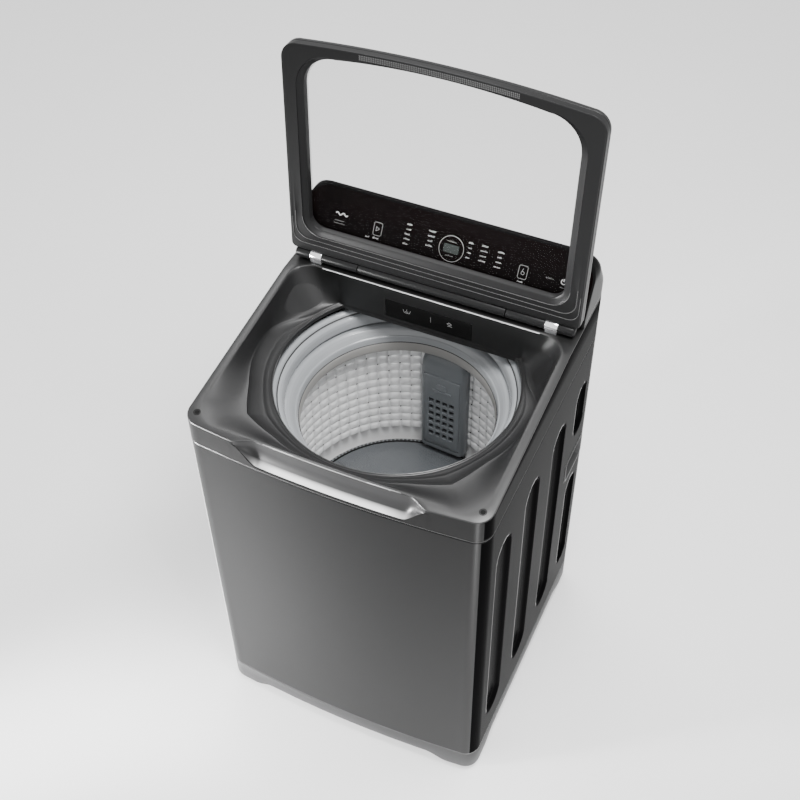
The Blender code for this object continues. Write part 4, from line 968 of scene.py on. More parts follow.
def letters(shape, x, y, width, height, chance):
    """A row of small upright marks that stands for a printed label, with nothing to read."""
    step = height * 0.70
    for index in range(max(int(width / step), 2)):
        left = x - width / 2 + index * step
        kind = chance.randrange(4)
        thick = height * 0.13
        tall = height * (0.7 if kind < 3 else 1.0)
        stroke(shape, [(left, y - height / 2), (left, y - height / 2 + tall)], thick)
        if kind != 1:
            level = y - height / 2 + tall * (0.5 if kind == 0 else 0.95)
            stroke(shape, [(left, level), (left + step * 0.6, level)], thick)
        if kind == 2:
            stroke(shape, [(left + step * 0.55, y - height / 2), (left + step * 0.55, level)], thick)


def build_marks(on_slope):
    chance = random.Random(7)
    bright, faint = bmesh.new(), bmesh.new()
    # Left end: a plain wave over two rows of small marks.
    wave = [(-0.2065 + i * 0.0011, 0.0640 + 0.0024 * math.sin(i * 0.60)) for i in range(22)]
    stroke(bright, wave, 0.0013)
    letters(faint, -0.1960, 0.0520, 0.020, 0.0022, chance)
    letters(faint, -0.1960, 0.0470, 0.022, 0.0022, chance)
    # Two touch keys, with a glyph in a rounded square.
    for x, y in ((-0.1234, 0.0560), (0.1477, 0.0530)):
        key = rounded_outline(0.0078, -0.0115, 0.0115, 0.0030, 0.0030, 0.0, 4, 1, 1)
        stroke(faint, [(x + a, y + b) for a, b in key], 0.0007, closed=True)
        letters(bright, x, y - 0.0165, 0.012, 0.0030, chance)
    stroke(faint, [(-0.1264, 0.0600), (-0.1264, 0.0520), (-0.1204, 0.0560), (-0.1264, 0.0600)], 0.0008)
    letters(bright, -0.1390, 0.0385, 0.009, 0.0028, chance)
    stroke(faint, arc((0.1477, 0.0515), 0.0028, 0, 360, 16), 0.0008)
    stroke(faint, [(0.1452, 0.0525), (0.1480, 0.0595)], 0.0008)
    # Programme names, in columns beside the dial ring.
    columns = ((-0.0655, 0.0618, 5, 0.0110), (-0.0225, 0.0655, 4, 0.0130), (0.0500, 0.0640, 4, 0.0100),
               (0.0755, 0.0650, 4, 0.0140), (0.1045, 0.0620, 4, 0.0130))
    for x, y, rows, width in columns:
        for row in range(rows):
            letters(bright, x - row * 0.0006, y + ((rows - 1) / 2 - row) * 0.0086,
                    width * chance.uniform(0.75, 1.1), 0.0026, chance)
    for index in range(11):
        letters(faint, -0.030 + index * 0.0135, 0.0290, 0.007, 0.0024, chance)
    # Dial ring round the display.
    x, y = DISPLAY_PLACE
    stroke(faint, arc((x, y), 0.0225, 0, 360, 60), 0.0007)
    letters(faint, x, y + 0.0125, 0.018, 0.0024, chance)
    letters(faint, x, y - 0.0125, 0.016, 0.0024, chance)
    # Right end: small marks, a power symbol.
    letters(faint, 0.1960, 0.0560, 0.014, 0.0028, chance)
    stroke(bright, arc((0.2199, 0.0560), 0.0042, 115, 425, 20), 0.0012)
    stroke(bright, [(0.2199, 0.0565), (0.2199, 0.0612)], 0.0012)
    letters(faint, 0.2199, 0.0460, 0.009, 0.0020, chance)
    place("panel_marks_bright", bright, "cabinet", "gloss_panel", "print", smooth=0, matrix=on_slope)
    place("panel_marks_faint", faint, "cabinet", "gloss_panel", "faint_print", smooth=0, matrix=on_slope)


# ---------------------------------------------------------------- lid
LID_MATRIX = Matrix.Translation((0, HINGE_Y, HINGE_Z)) @ Matrix.Rotation(LID_REST, 4, "X")


def lid_loop(outline, height):
    half, front, rear, front_radius, rear_radius = outline
    points = rounded_outline(half, front, rear, front_radius, rear_radius, FRONT_BOW, 14, 25, 9)
    return [(x, y, height) for x, y in points]


def bead_along(shape, points, radius):
    """A thin half-sunk bead along an open line that lies flat."""
    loops = []
    for index, point in enumerate(points):
        before = Vector(points[max(index - 1, 0)])
        after = Vector(points[min(index + 1, len(points) - 1)])
        side = (after - before).cross(Vector((0, 0, 1))).normalized()
        loops.append([Vector(point) + side * radius * math.cos(a) + Vector((0, 0, radius * math.sin(a)))
                      for a in (i * math.pi / 3 for i in range(6))])
    skin(shape, loops)


def lid_edge(inset):
    return (WIDTH / 2 - inset, -LID_LENGTH + inset, -LID_START - inset, max(CORNER_RADIUS - inset, 0.004),
            0.010 - inset / 2)


def build_lid():
    step_one = (0.2645, -0.4045, -0.0265, 0.034, 0.018)
    step_two = (0.2585, -0.4020, -0.0365, 0.042, 0.024)
    step_three = LID_OPENING_FLARE

    def grown(outline, grow):
        half, front, rear, front_radius, rear_radius = outline
        return (half + grow, front - grow, rear + grow, front_radius + grow, rear_radius + grow)

    low = LID_LOW
    rows = [(lid_edge(0.0026), low), (lid_edge(0.0010), low + 0.0004), (lid_edge(0.0002), low + 0.0012),
            (lid_edge(0.0), low + 0.0024), (lid_edge(0.0), 0.0060), (lid_edge(0.0005), 0.0066),
            (lid_edge(0.0005), 0.0074), (lid_edge(0.0), 0.0080), (lid_edge(0.0), LID_HIGH - 0.0022),
            (lid_edge(0.0006), LID_HIGH - 0.0006), (lid_edge(0.0022), LID_HIGH),
            (lid_edge(GLASS_INSET), LID_HIGH), (lid_edge(GLASS_INSET), GLASS_SEAT),
            (LID_OPENING, GLASS_SEAT), (LID_OPENING, 0.0), (grown(LID_OPENING, 0.0006), -0.0010),
            (grown(LID_OPENING, 0.0045), -0.0026), (grown(step_three, -0.0030), low + 0.0026),
            (grown(step_three, -0.0006), low + 0.0016), (step_three, low + 0.0007),
            (grown(step_three, 0.0012), low + 0.0010), (grown(step_two, -0.0010), low + 0.0012),
            (step_two, low + 0.0002), (grown(step_two, 0.0012), low + 0.0006),
            (grown(step_one, -0.0010), low + 0.0008), (step_one, low), ]
    loops = []
    for outline, height in rows:
        loop = lid_loop(outline, height)
        if low < height < low + 0.0016 and outline[0] < 0.2665:
            loop = [(x, y, low + (height - low) * smoothstep(-0.16, -0.06, y)) for x, y, height in loop]
        loops.append(loop)
    place("lid_moulding", skin(bmesh.new(), loops, ring=True), "lid", "cover_plastic",
          stands_for=("lid_frame",), matrix=LID_MATRIX, smooth=32)

    rows = [(0.0003, GLASS_SEAT + 0.0003), (0.0003, LID_HIGH - 0.0016), (0.0012, LID_HIGH - 0.0008)]
    loops = [lid_loop(lid_edge(GLASS_INSET + inset), height) for inset, height in rows]
    place("lid_pane", skin(bmesh.new(), loops), "lid", "lid_glass", stands_for=("lid_glass",),
          matrix=LID_MATRIX, smooth=30)

    band = bmesh.new()
    outer = lid_loop(grown(lid_edge(GLASS_INSET), -0.0012), GLASS_SEAT + 0.0002)
    inner = lid_loop(grown(LID_OPENING, 0.0), GLASS_SEAT + 0.0002)
    inner_up = lid_loop(grown(LID_OPENING, 0.0), GLASS_SEAT + 0.00026)
    outer_up = lid_loop(grown(lid_edge(GLASS_INSET), -0.0012), GLASS_SEAT + 0.00026)
    skin(band, [outer, inner, inner_up, outer_up], ring=True)
    place("lid_glass_print", band, "lid", "gloss_panel", matrix=LID_MATRIX, smooth=0)

    # Lighter beads along the lid's steps: painted highlights on the step edges.
    lines = bmesh.new()
    for outline, height in ((step_one, low - 0.0001), (step_two, low - 0.0001), (step_three, low + 0.0003)):
        points = [p for p in lid_loop(outline, height) if p[1] > -0.105]
        start = max(range(len(points)), key=lambda i: (Vector(points[i]) - Vector(points[i - 1])).length)
        bead_along(lines, points[start:] + points[:start], 0.00045)
    place("lid_step_lines", lines, "lid", "cover_plastic", "soft_trim_and_highlight", matrix=LID_MATRIX, smooth=60)

    # Dotted fringe printed on the glass along the opening.
    dots = bmesh.new()
    fringe = lid_loop(grown(LID_OPENING, -0.0012), GLASS_SEAT + 0.0002)
    for near, far in zip(fringe, fringe[1:] + fringe[:1]):
        near, far = Vector(near), Vector(far)
        count = max(int((far - near).length / 0.0026), 1)
        for index in range(count):
            spot = near.lerp(far, index / count)
            prism(dots, circle(0.0008, 6, (spot.x, spot.y)), spot.z, spot.z + 0.00006)
    place("lid_glass_fringe", dots, "lid", "gloss_panel", matrix=LID_MATRIX, smooth=0)

    # Ribbed strip along the free end's inner face.
    ribs = bmesh.new()
    for index in range(88):
        x = -0.1305 + index * 0.003
        bow = FRONT_BOW * (1 - (x / STRAIGHT) ** 2)
        for row in range(3):
            y = -LID_LENGTH - bow + 0.0026 + row * 0.0030
            outline = [(x - 0.0011, y), (x + 0.0005, y), (x + 0.0011, y + 0.0022), (x - 0.0005, y + 0.0022)]
            prism(ribs, outline, low - 0.0005, low + 0.0006)
    place("lid_grip_ribs", ribs, "lid", "cover_plastic", "soft_trim_and_highlight", matrix=LID_MATRIX, smooth=0)

    seat = Matrix.Translation((0, HINGE_Y, HINGE_Z)) @ Matrix.Rotation(math.radians(90), 4, "Y")
    inner, outer = SLEEVE_SPAN
    radius = BARREL_RADIUS
    middle = [(0.0, -0.1385), (radius, -0.1385), (radius, 0.1385), (0.0, 0.1385)]
    place("hinge_barrel_middle", turned(middle, 48, 0.0012), "lid", "cover_plastic",
          stands_for=("lid_barrel_middle",), matrix=seat)
    bore = 0.0043
    for side, sign in (("left", -1), ("right", 1)):
        knuckle = [(0.0, 0.140), (radius, 0.140), (radius, inner - 0.001), (bore, inner - 0.001),
                   (bore, inner - 0.013), (0.0, inner - 0.013)]
        end = [(0.0, outer + 0.013), (bore, outer + 0.013), (bore, outer + 0.001), (radius, outer + 0.001),
               (radius, 0.2600), (radius - 0.003, 0.2625), (0.0, 0.2625)]
        collar = [(bore, inner), (radius + 0.0006, inner), (radius + 0.0006, outer), (bore, outer)]
        pin = [(0.0, inner - 0.012), (0.004, inner - 0.012), (0.004, outer + 0.012), (0.0, outer + 0.012)]
        for name, profile, body, slot, node in (
                ("hinge_barrel", knuckle, "lid", "cover_plastic", "lid_barrel"),
                ("hinge_barrel_end", end, "lid", "cover_plastic", "lid_barrel_end"),
                ("hinge_rod", pin, "cabinet", "steel", "hinge_pin"),
                ("hinge_collar", collar, "cabinet", "chrome", "hinge_sleeve")):
            profile = [(r, sign * h) for r, h in profile]
            place(f"{name}_{side}", turned(profile, 48, 0.0008), body, slot, stands_for=(f"{node}_{side}",),
                  matrix=seat)
        foot = bmesh.new()
        ends = sorted((sign * (inner + 0.001), sign * (outer - 0.001)))
        outline = [(HINGE_Y - 0.0085, COVER_DECK + 0.0003), (HINGE_Y + 0.0085, COVER_DECK + 0.0003),
                   (HINGE_Y + 0.0080, HINGE_Z - 0.006), (HINGE_Y - 0.0080, HINGE_Z - 0.006)]
        prism(foot, outline, ends[0], ends[1], ALONG_X)
        place(f"hinge_bracket_{side}", foot, "cabinet", "chrome", "steel", smooth=0)


# ---------------------------------------------------------------- detergent drawer
def build_drawer():
    tray = bmesh.new()
    rows = ((0.0, 0.7650), (0.0, 0.7965), (0.0004, 0.7973), (0.0018, 0.7973), (0.0022, 0.7965),
            (0.0024, 0.7690), (0.0060, 0.7672))
    loops = []
    for inset, z in rows:
        outline = rounded_outline(0.0775 - inset, 0.1170 + inset, 0.2240 - inset, max(0.008 - inset, 0.003),
                                  max(0.008 - inset, 0.003), 0.0, 5, 3, 3)
        loops.append([(x, y, z) for x, y in outline])
    skin(tray, loops)
    box(tray, (0.0120, 0.1190, 0.7672), (0.0138, 0.2220, 0.7940))
    place("drawer_tray", tray, "drawer", "dark_plastic", stands_for=("detergent_drawer",))

    face = bmesh.new()
    rows = ((0.0, 0.1184), (0.0, BACK_WALL_Y + 0.0004), (0.0003, BACK_WALL_Y - 0.0002),
            (0.0010, BACK_WALL_Y - 0.0005))
    loops = []
    for inset, y in rows:
        outline = rounded_outline(0.0824 - inset, 0.7626 + inset, 0.8014 - inset, 0.0020, 0.0020, 0.0, 4, 3,
                                  3)
        loops.append([(x, y, z) for x, z in outline])
    place("drawer_front", skin(face, loops), "drawer", "dark_plastic", "recess_plastic")

    marks = bmesh.new()
    front = BACK_WALL_Y - 0.0005

    def line(points, width=0.0008):
        for (ax, az), (bx, bz) in zip(points, points[1:]):
            along = Vector((bx - ax, bz - az))
            side = Vector((-along.y, along.x)).normalized() * width / 2
            outline = [(ax - side.x, az - side.y), (bx - side.x, bz - side.y), (bx + side.x, bz + side.y),
                       (ax + side.x, az + side.y)]
            prism(marks, outline, front - 0.00015, front + 0.0004, ALONG_Y)

    line([(-0.048, 0.7895), (-0.046, 0.7830), (-0.036, 0.7830), (-0.034, 0.7895)])
    line([(-0.044, 0.7860), (-0.038, 0.7860)])
    line([(-0.041, 0.7885), (-0.041, 0.7915)])
    line([(0.005, 0.7780), (0.005, 0.7900)], 0.0005)
    line([(0.036, 0.7870), (0.040, 0.7900), (0.045, 0.7870), (0.040, 0.7845), (0.036, 0.7870)])
    line([(0.037, 0.7820), (0.046, 0.7820)])
    place("drawer_marks", marks, "drawer", "dark_plastic", "faint_print", smooth=0)


# ---------------------------------------------------------------- tub, drum and wash parts
def build_rings():
    ring = [(0.2295, 0.6990), (0.2295, 0.7230), (0.2262, 0.7300), (0.2222, 0.7342), (0.2170, 0.7362),
            (0.2130, 0.7362), (0.2092, 0.7340), (0.2070, 0.7305), (0.2062, 0.7290), (0.2050, 0.7288),
            (0.2020, 0.7280), (0.1985, 0.7250), (0.1965, 0.7200), (0.1952, 0.7120), (0.1950, 0.7080),
            (0.2190, 0.7070), (0.2190, 0.6990)]
    place("tub_ring_shell", turned(ring, 160, 0.0006), "tub_assembly", "ring_grey", stands_for=("tub_ring",),
          matrix=ON_AXIS, smooth=40)
    # Dark groove on the tub ring: painted shade in the crease.
    groove = [(0.2072, 0.7316), (0.2064, 0.7302), (0.2054, 0.7296), (0.2058, 0.7286), (0.2078, 0.7296)]
    place("tub_ring_groove", turned(groove, 160), "tub_assembly", "ring_grey", "painted_gap_shade", matrix=ON_AXIS)

    balance = [(0.2068, 0.6552), (0.2068, 0.6950), (0.2052, 0.6992), (0.2015, 0.7015), (0.1970, 0.7022),
               (0.1925, 0.7018), (0.1880, 0.6995), (0.1838, 0.6955), (0.1800, 0.6905), (0.1785, 0.6885),
               (0.1772, 0.6880), (0.1760, 0.6866), (0.1748, 0.6830), (0.1738, 0.6780), (0.1736, 0.6760),
               (0.1760, 0.6750), (0.1760, 0.6552)]
    place("balance_ring_shell", turned(balance, 160, 0.0005), "drum", "ring_grey",
          stands_for=("balance_ring",), matrix=ON_AXIS, smooth=40)
    band = [(0.1758, 0.6552), (0.1758, 0.6752), (0.1734, 0.6756), (0.1724, 0.6735), (0.1718, 0.6680),
            (0.1716, 0.6600), (0.1722, 0.6552)]
    place("balance_ring_inner_band", turned(band, 160, 0.0004), "drum", "ring_grey", "taupe_ring",
          matrix=ON_AXIS)
    # Dark line where the balance ring meets its inner band: painted shade in the gap.
    seam = [(0.1738, 0.6770), (0.1728, 0.6762), (0.1730, 0.6752), (0.1745, 0.6754)]
    place("balance_ring_seam", turned(seam, 160), "drum", "ring_grey", "painted_gap_shade", matrix=ON_AXIS)


def pillow(column, row):
    """Bulge of the basket wall towards the middle, for a place counted in pillows."""
    u, v = column % 1.0, row % 1.0
    bulge = max(math.sin(math.pi * u) * math.sin(math.pi * v), 0.0) ** 0.5
    return 0.0040 * bulge


def build_basket():
    shape = bmesh.new()
    per_column, per_row = 8, 8
    segments = PILLOW_COLUMNS * per_column
    inner = BASKET_RADIUS - SHEET
    pitch = (BASKET_TOP - 0.004 - PILLOW_LOW) / PILLOW_ROWS
    rows = []
    profile = [(0.0205, 0.3625), (0.1900, 0.3625), (0.1945, 0.3632), (0.1990, 0.3660), (0.2025, 0.3710),
               (0.2045, 0.3760)]
    for radius, z in profile:
        rows.append([(x, y, z) for x, y in circle(radius, segments)])
    for step in range(PILLOW_ROWS * per_row + 1):
        z = PILLOW_LOW + pitch * step / per_row
        loop = []
        for index in range(segments):
            angle = 2 * math.pi * index / segments
            radius = inner - pillow(index / per_column, step / per_row)
            loop.append((radius * math.cos(angle), radius * math.sin(angle), z))
        rows.append(loop)
    for radius, z in ((inner, BASKET_TOP), (BASKET_RADIUS, BASKET_TOP), (BASKET_RADIUS, 0.3740),
                      (0.1990, BASKET_FLOOR), (0.0205, BASKET_FLOOR)):
        rows.append([(x, y, z) for x, y in circle(radius, segments)])
    skin(shape, rows, ring=True)
    place("basket_embossed", shape, "drum", "stainless_steel", stands_for=("basket",), matrix=ON_AXIS,
          smooth=50)

    # Drain holes drawn as shallow dark dimples: painted shade for the holes.
    holes = bmesh.new()
    for column in range(PILLOW_COLUMNS):
        angle = 2 * math.pi * column / PILLOW_COLUMNS
        outward = Vector((math.cos(angle), math.sin(angle), 0))
        side = Vector((-outward.y, outward.x, 0))
        for row in range(1, PILLOW_ROWS):
            if (row + column) % 2:
                continue
            centre = outward * (inner - 0.0002) + Vector((0, 0, PILLOW_LOW + pitch * row))
            loops = []
            for radius, depth in ((0.0017, 0.0006), (0.0017, -0.0002), (0.0011, -0.0001)):
                loops.append([centre + outward * depth + side * radius * math.cos(a)
                              + Vector((0, 0, radius * math.sin(a)))
                              for a in (i * math.pi / 4 for i in range(8))])
            skin(holes, loops)
    place("basket_drain_holes", holes, "drum", "stainless_steel", "painted_gap_shade", matrix=ON_AXIS)

    teeth = bmesh.new()
    for index in range(150):
        angle = 2 * math.pi * index / 150
        turn = Matrix.Rotation(angle, 4, "Z")
        low = Vector((0.1930, -0.0016, 0.3795))
        high = Vector((0.1962, 0.0016, 0.3812))
        corners = [(low.x, low.y), (high.x, low.y), (high.x, high.y), (low.x, high.y)]
        prism(teeth, corners, low.z, high.z, turn)
    place("basket_floor_teeth", teeth, "drum", "stainless_steel", "filter_grey", matrix=ON_AXIS, smooth=0)

    # Dark ring at the foot of the basket wall: painted shade in the gap beside the pulsator.
    skirt = [(0.1900, 0.3628), (0.2005, 0.3690), (0.2008, 0.3745), (0.1985, 0.3790), (0.1955, 0.3805),
             (0.1935, 0.3795), (0.1930, 0.3700)]
    place("basket_floor_ring", turned(skirt, 120, 0.0006), "drum", "stainless_steel", "painted_gap_shade",
          matrix=ON_AXIS)


def pulsator_height(radius, angle):
    dome = 0.3795 + 0.0055 * math.cos(min(radius / 0.19, 1.0) * math.pi / 2)
    vane = max(0.0, math.cos(1.5 * (angle - 2.2 * radius))) ** 12
    swell = math.sin(min(max((radius - 0.03) / 0.15, 0.0), 1.0) * math.pi) ** 0.8
    return dome + 0.012 * vane * swell


def build_pulsator():
    segments = 180
    rows = [[(x, y, 0.3660) for x, y in circle(0.025, segments)],
            [(x, y, 0.3660) for x, y in circle(0.1875, segments)],
            [(x, y, 0.3672) for x, y in circle(0.1896, segments)]]
    for radius in [0.1900, 0.1896, 0.1885] + [0.185 - i * 0.005 for i in range(33)]:
        drop = 0.0012 if radius > 0.1898 else (0.0003 if radius > 0.1890 else 0.0)
        rows.append([(x, y, pulsator_height(radius, math.atan2(y, x)) - drop)
                     for x, y in circle(radius, segments)])
    place("pulsator_disc", skin(bmesh.new(), rows), "wash_plate", "pulsator_grey", stands_for=("pulsator",),
          matrix=ON_AXIS, smooth=60)
    top = pulsator_height(0.025, 0.0)
    cap = [(0.0, top - 0.001), (0.0200, top - 0.001), (0.0200, top + 0.004), (0.0150, top + 0.008),
           (0.0, top + 0.009)]
    place("pulsator_badge", turned(cap, 60, 0.002), "wash_plate", "filter_grey",
          stands_for=("pulsator_cap",), matrix=ON_AXIS, smooth=50)
    # Dark lines along the pulsator's seams: painted shade in the creases.
    seams = bmesh.new()
    for index in range(3):
        angle = 0.55 + index * 2 * math.pi / 3
        points = []
        for step in range(16):
            radius = 0.030 + step * 0.0104
            points.append((radius, angle + radius * 0.5))
        for (ra, aa), (rb, ab) in zip(points, points[1:]):
            a = Vector((ra * math.cos(aa), ra * math.sin(aa), 0))
            b = Vector((rb * math.cos(ab), rb * math.sin(ab), 0))
            side = Vector((-(b - a).y, (b - a).x, 0)).normalized() * 0.0006
            corners = []
            for point, radius, turn in ((a, ra, aa), (b, rb, ab)):
                for sign in (-1, 1):
                    spot = point + side * sign
                    corners.append((spot, pulsator_height(radius, turn)))
            low = [Vector((p.x, p.y, h - 0.001)) for p, h in corners]
            high = [Vector((p.x, p.y, h + 0.00015)) for p, h in corners]
            order = (0, 2, 3, 1)
            skin(seams, [[low[i] for i in order], [high[i] for i in order]])
    place("pulsator_seams", seams, "wash_plate", "pulsator_grey", "painted_gap_shade", matrix=ON_AXIS, smooth=0)


def build_filter():
    turn = ON_AXIS @ Matrix.Rotation(FILTER_TURN, 4, "Z")
    inside = BASKET_RADIUS - SHEET - 0.0045
    spread = math.asin(FILTER_HALF / inside)
    steps = 16
    behind = [(inside * math.sin(spread - 2 * spread * i / steps),
               inside * math.cos(spread - 2 * spread * i / steps))
              for i in range(steps + 1)]
    corner = 0.012

    def outline(draw):
        """Plan of the housing, drawn back from the front and sides."""
        half = FILTER_HALF - draw * 0.4
        front = FILTER_FRONT + draw
        points = [(x, front + 0.0012 * (x / half) ** 2) for x in [half * (i / 8 - 1) for i in range(1, 16)]
                  if abs(x) < half - corner]
        right = arc((half - corner, front + corner), corner, -90, 0, 8)
        left = arc((-half + corner, front + corner), corner, 180, 270, 8)
        back = [(x * half / FILTER_HALF, y) for x, y in behind]
        return points + right + back + left

    low, high = FILTER_LOW, FILTER_HIGH
    rows = ((0.0100, low + 0.0040), (0.0045, low + 0.0042), (0.0012, low + 0.0065), (0.0, low + 0.0110),
            (0.0, high - 0.0420), (0.0008, high - 0.0300), (0.0028, high - 0.0200), (0.0062, high - 0.0110),
            (0.0105, high - 0.0050), (0.0150, high - 0.0015), (0.0190, high))
    loops = [[(x, y, z) for x, y in outline(draw)] for draw, z in rows]
    housing = place("filter_shell", skin(bmesh.new(), loops), "drum", "filter_grey",
                    stands_for=("lint_filter_housing",), matrix=turn, smooth=40)
    pocket = box(bmesh.new(), (-0.0385, FILTER_FRONT - 0.010, 0.4065),
                 (0.0385, FILTER_FRONT + 0.0175, 0.6020))
    pocket.transform(turn)
    carve(housing, (pocket,))

    plate = bmesh.new()
    half, bottom, top = 0.0380, 0.4080, 0.6000
    rows = ((0.0, FILTER_FRONT + 0.0165), (0.0, FILTER_FRONT + 0.0008), (0.0006, FILTER_FRONT - 0.0004),
            (0.0018, FILTER_FRONT - 0.0010))
    loops = []
    middle = (bottom + top) / 2
    for inset, y in rows:
        shape = rounded_outline(half - inset, bottom + inset - middle, top - inset - middle, 0.0040, 0.0040,
                                0.0, 5, 3, 5)
        loops.append([(x, y, middle + z) for x, z in shape])
    skin(plate, loops)
    cassette = place("filter_cassette_face", plate, "filter_cassette", "filter_grey",
                     stands_for=("lint_filter_cassette",), matrix=turn, smooth=30)
    cutters = []
    holes = bmesh.new()
    for column in range(4):
        for row in range(6):
            x = (column - 1.5) * 0.0145
            z = 0.4400 + row * 0.0185
            outline_hole = rounded_outline(0.0052, -0.0062, 0.0062, 0.0012, 0.0012, 0.0, 3, 1, 1)
            prism(holes, [(x + a, z + b) for a, b in outline_hole], FILTER_FRONT - 0.010,
                  FILTER_FRONT + 0.0060, ALONG_Y)
    holes.transform(turn)
    cutters.append(holes)
    carve(cassette, cutters)
    # A dark sheet behind the cassette's holes: painted shade for the housing's inside.
    hole_shade_sheet = box(bmesh.new(), (-0.0300, FILTER_FRONT + 0.0058, 0.4300),
                  (0.0300, FILTER_FRONT + 0.0064, 0.5420))
    place("filter_hole_shade", hole_shade_sheet, "filter_cassette", "filter_grey", "painted_gap_shade", matrix=turn,
          smooth=0)

    latch = bmesh.new()
    for x, z, wide, tall, off in ((0.0, 0.5640, 0.0200, 0.0020, 0.0012),
                                  (0.0, 0.5760, 0.0100, 0.0070, 0.0018),
                                  (-0.0120, 0.5600, 0.0030, 0.0012, 0.0012)):
        outline_bar = rounded_outline(wide, -tall, tall, min(tall, wide) * 0.6, min(tall, wide) * 0.6, 0.0,
                                      4, 1, 1)
        prism(latch, [(x + a, z + b) for a, b in outline_bar], FILTER_FRONT - 0.0010 - off,
              FILTER_FRONT + 0.0005, ALONG_Y)
    place("filter_latch", latch, "filter_cassette", "filter_grey", matrix=turn)


# ---------------------------------------------------------------- drive and suspension
def build_works():
    beside = Matrix.Translation((0.140, AXIS_Y, 0))
    hub = [(0.0085, BASKET_FLOOR - 0.0003), (0.0900, BASKET_FLOOR - 0.0003), (0.0900, 0.3550),
           (0.0300, 0.3535), (0.0165, 0.3535), (0.0165, 0.2020), (0.0085, 0.2020)]
    shaft = [(0.0, 0.2020), (0.0078, 0.2020), (0.0078, 0.3657), (0.0, 0.3657)]
    gearcase = [(0.0172, 0.3520), (0.0310, 0.3520), (0.0310, 0.3302), (0.0700, 0.3302), (0.0700, 0.3240),
                (0.0480, 0.3160), (0.0480, 0.2120), (0.0440, 0.2060), (0.0172, 0.2060)]
    motor = [(0.0, 0.2120), (0.0460, 0.2120), (0.0580, 0.2220), (0.0580, 0.2480), (0.0560, 0.2490),
             (0.0560, 0.2900), (0.0580, 0.2910), (0.0580, 0.3200), (0.0500, 0.3302), (0.0, 0.3302)]

    def pulley(groove, core, top):
        flange = groove + 0.006
        low, high = 0.1812, 0.1908
        return [(0.0, low - 0.004), (flange, low - 0.004), (flange, low), (groove, low), (groove, high),
                (flange, high), (flange, high + 0.004), (core, high + 0.004), (core, top), (0.0, top)]

    parts = (("hub_casting", hub, ON_AXIS, "drum", "cast_aluminium", "drum_hub"),
             ("shaft_turned", shaft, ON_AXIS, "wash_plate", "steel", "wash_shaft"),
             ("gearcase_casting", gearcase, ON_AXIS, "tub_assembly", "cast_aluminium", "gearcase"),
             ("motor_casing", motor, beside, "tub_assembly", "cast_aluminium", "motor"),
             ("pulley_large", pulley(0.050, 0.0078, 0.2017), ON_AXIS, "clutch", "cast_aluminium",
              "clutch_pulley"),
             ("pulley_small", pulley(0.020, 0.0060, 0.2117), beside, "motor_rotor", "cast_aluminium",
              "motor_pulley"))
    for name, profile, matrix, body, slot, node in parts:
        place(name, turned(profile, 64, 0.0008), body, slot, stands_for=(node,), matrix=matrix)

    foot = [(0.0, 0.0), (0.0195, 0.0), (0.0210, 0.0015), (0.0210, 0.0075), (0.0180, 0.0093),
            (0.0060, 0.0093), (0.0060, 0.044), (0.0, 0.044)]
    rod = [(0.0, 0.7275), (0.0080, 0.7275), (0.0140, 0.7220), (0.0140, 0.7158), (0.0040, 0.7158),
           (0.0040, 0.308), (0.0160, 0.308), (0.0160, 0.302), (0.0, 0.302)]
    for near, sign_y in (("front", -1), ("rear", 1)):
        for side, sign_x in (("left", -1), ("right", 1)):
            name = f"{near}_{side}"
            body = f"foot_{side}" if near == "front" else "cabinet"
            place(f"foot_pad_{name}", turned(foot, 40, 0.0008), body, "rubber", stands_for=(f"foot_{name}",),
                  matrix=Matrix.Translation((sign_x * 0.225, sign_y * 0.228, 0)))
            place(f"hanger_{name}", turned(rod, 32, 0.0008), "cabinet", "steel", stands_for=(f"rod_{name}",),
                  matrix=Matrix.Translation((sign_x * 0.205, AXIS_Y + sign_y * 0.200, 0)))


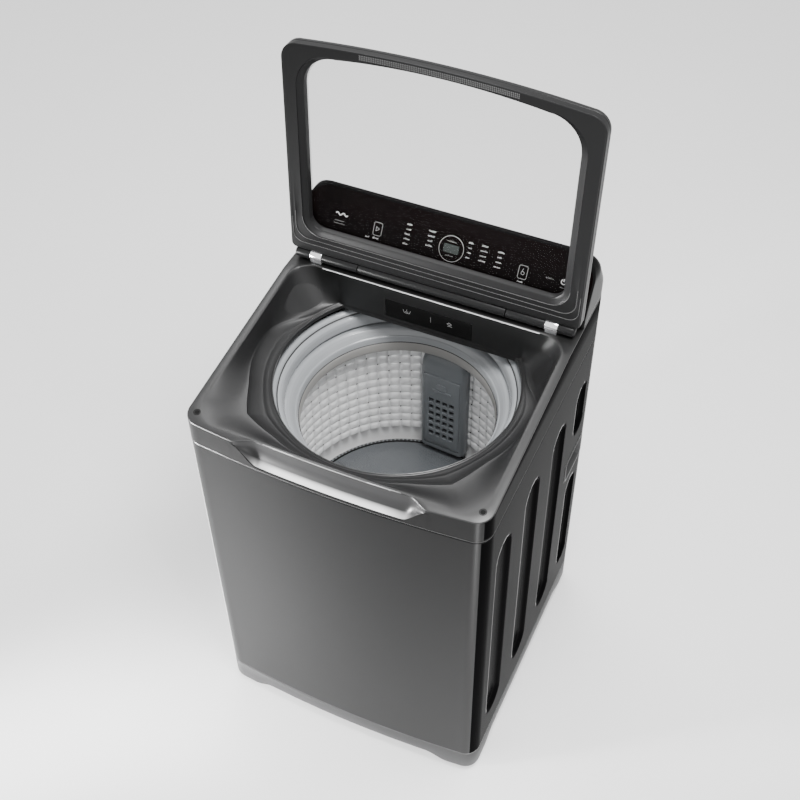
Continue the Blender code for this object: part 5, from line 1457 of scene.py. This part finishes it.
def dress_cad_nodes():
    """Nodes that stay as they are still get their full material."""
    slots = {row["node"]: row["material_slot"] for row in frame["record"]["subparts"]}
    for name, node in frame["nodes"].items():
        if node.hide_render:
            continue
        node.data.materials.clear()
        node.data.materials.append(LOOKS[slots[name]])


# ---------------------------------------------------------------- studio
def add_area(name, place_at, look_at, size, power, spread):
    data = bpy.data.lights.new(name, "AREA")
    data.shape = "RECTANGLE"
    data.size, data.size_y = size
    data.energy = power
    data.spread = math.radians(spread)
    light = bpy.data.objects.new(name, data)
    bpy.context.scene.collection.objects.link(light)
    light.location = place_at
    aim = Vector(look_at) - Vector(place_at)
    light.rotation_euler = aim.to_track_quat("-Z", "Y").to_euler()
    light.visible_camera = False


def add_studio():
    floor = bmesh.new()
    skin(floor, [[(x, y, z) for x, y in ((-9, -9), (9, -9), (9, 9), (-9, 9))] for z in (-0.02, 0.0)])
    bmesh.ops.recalc_face_normals(floor, faces=floor.faces)
    mesh = bpy.data.meshes.new("floor")
    floor.to_mesh(mesh)
    floor.free()
    ground = bpy.data.objects.new("floor", mesh)
    bpy.context.scene.collection.objects.link(ground)
    mesh.materials.append(surface("floor", (0.90, 0.90, 0.90), 0.75, grain=30.0, bump=0.02, mottle=0.01))

    world = bpy.data.worlds.new("studio")
    world.use_nodes = True
    sky = world.node_tree.nodes["Background"]
    sky.inputs["Color"].default_value = (1.0, 1.0, 1.0, 1.0)
    sky.inputs["Strength"].default_value = 1.3
    bpy.context.scene.world = world

    add_area("left_near", (-0.95, -0.95, 0.40), (-0.22, -0.26, 0.40), (0.35, 0.75), 27, 45)
    add_area("overhead", (0.45, -0.20, 2.4), (-0.05, 0.0, 0.5), (0.7, 0.7), 66.0, 180)
    add_area("back_high", (-1.09, 1.35, 3.05), (-0.05, -0.27, 0.75), (1.5, 0.8), 40.0, 180)
    add_area("corner_strip", (0.50, -0.72, 0.36), (0.262, -0.262, 0.36), (0.03, 0.70), 6.0, 180)


build_wrap()
build_handles()
build_base()
build_rear()
build_top_cover()
build_console()
build_lid()
build_drawer()
build_rings()
build_basket()
build_pulsator()
build_filter()
build_works()
dress_cad_nodes()
add_studio()
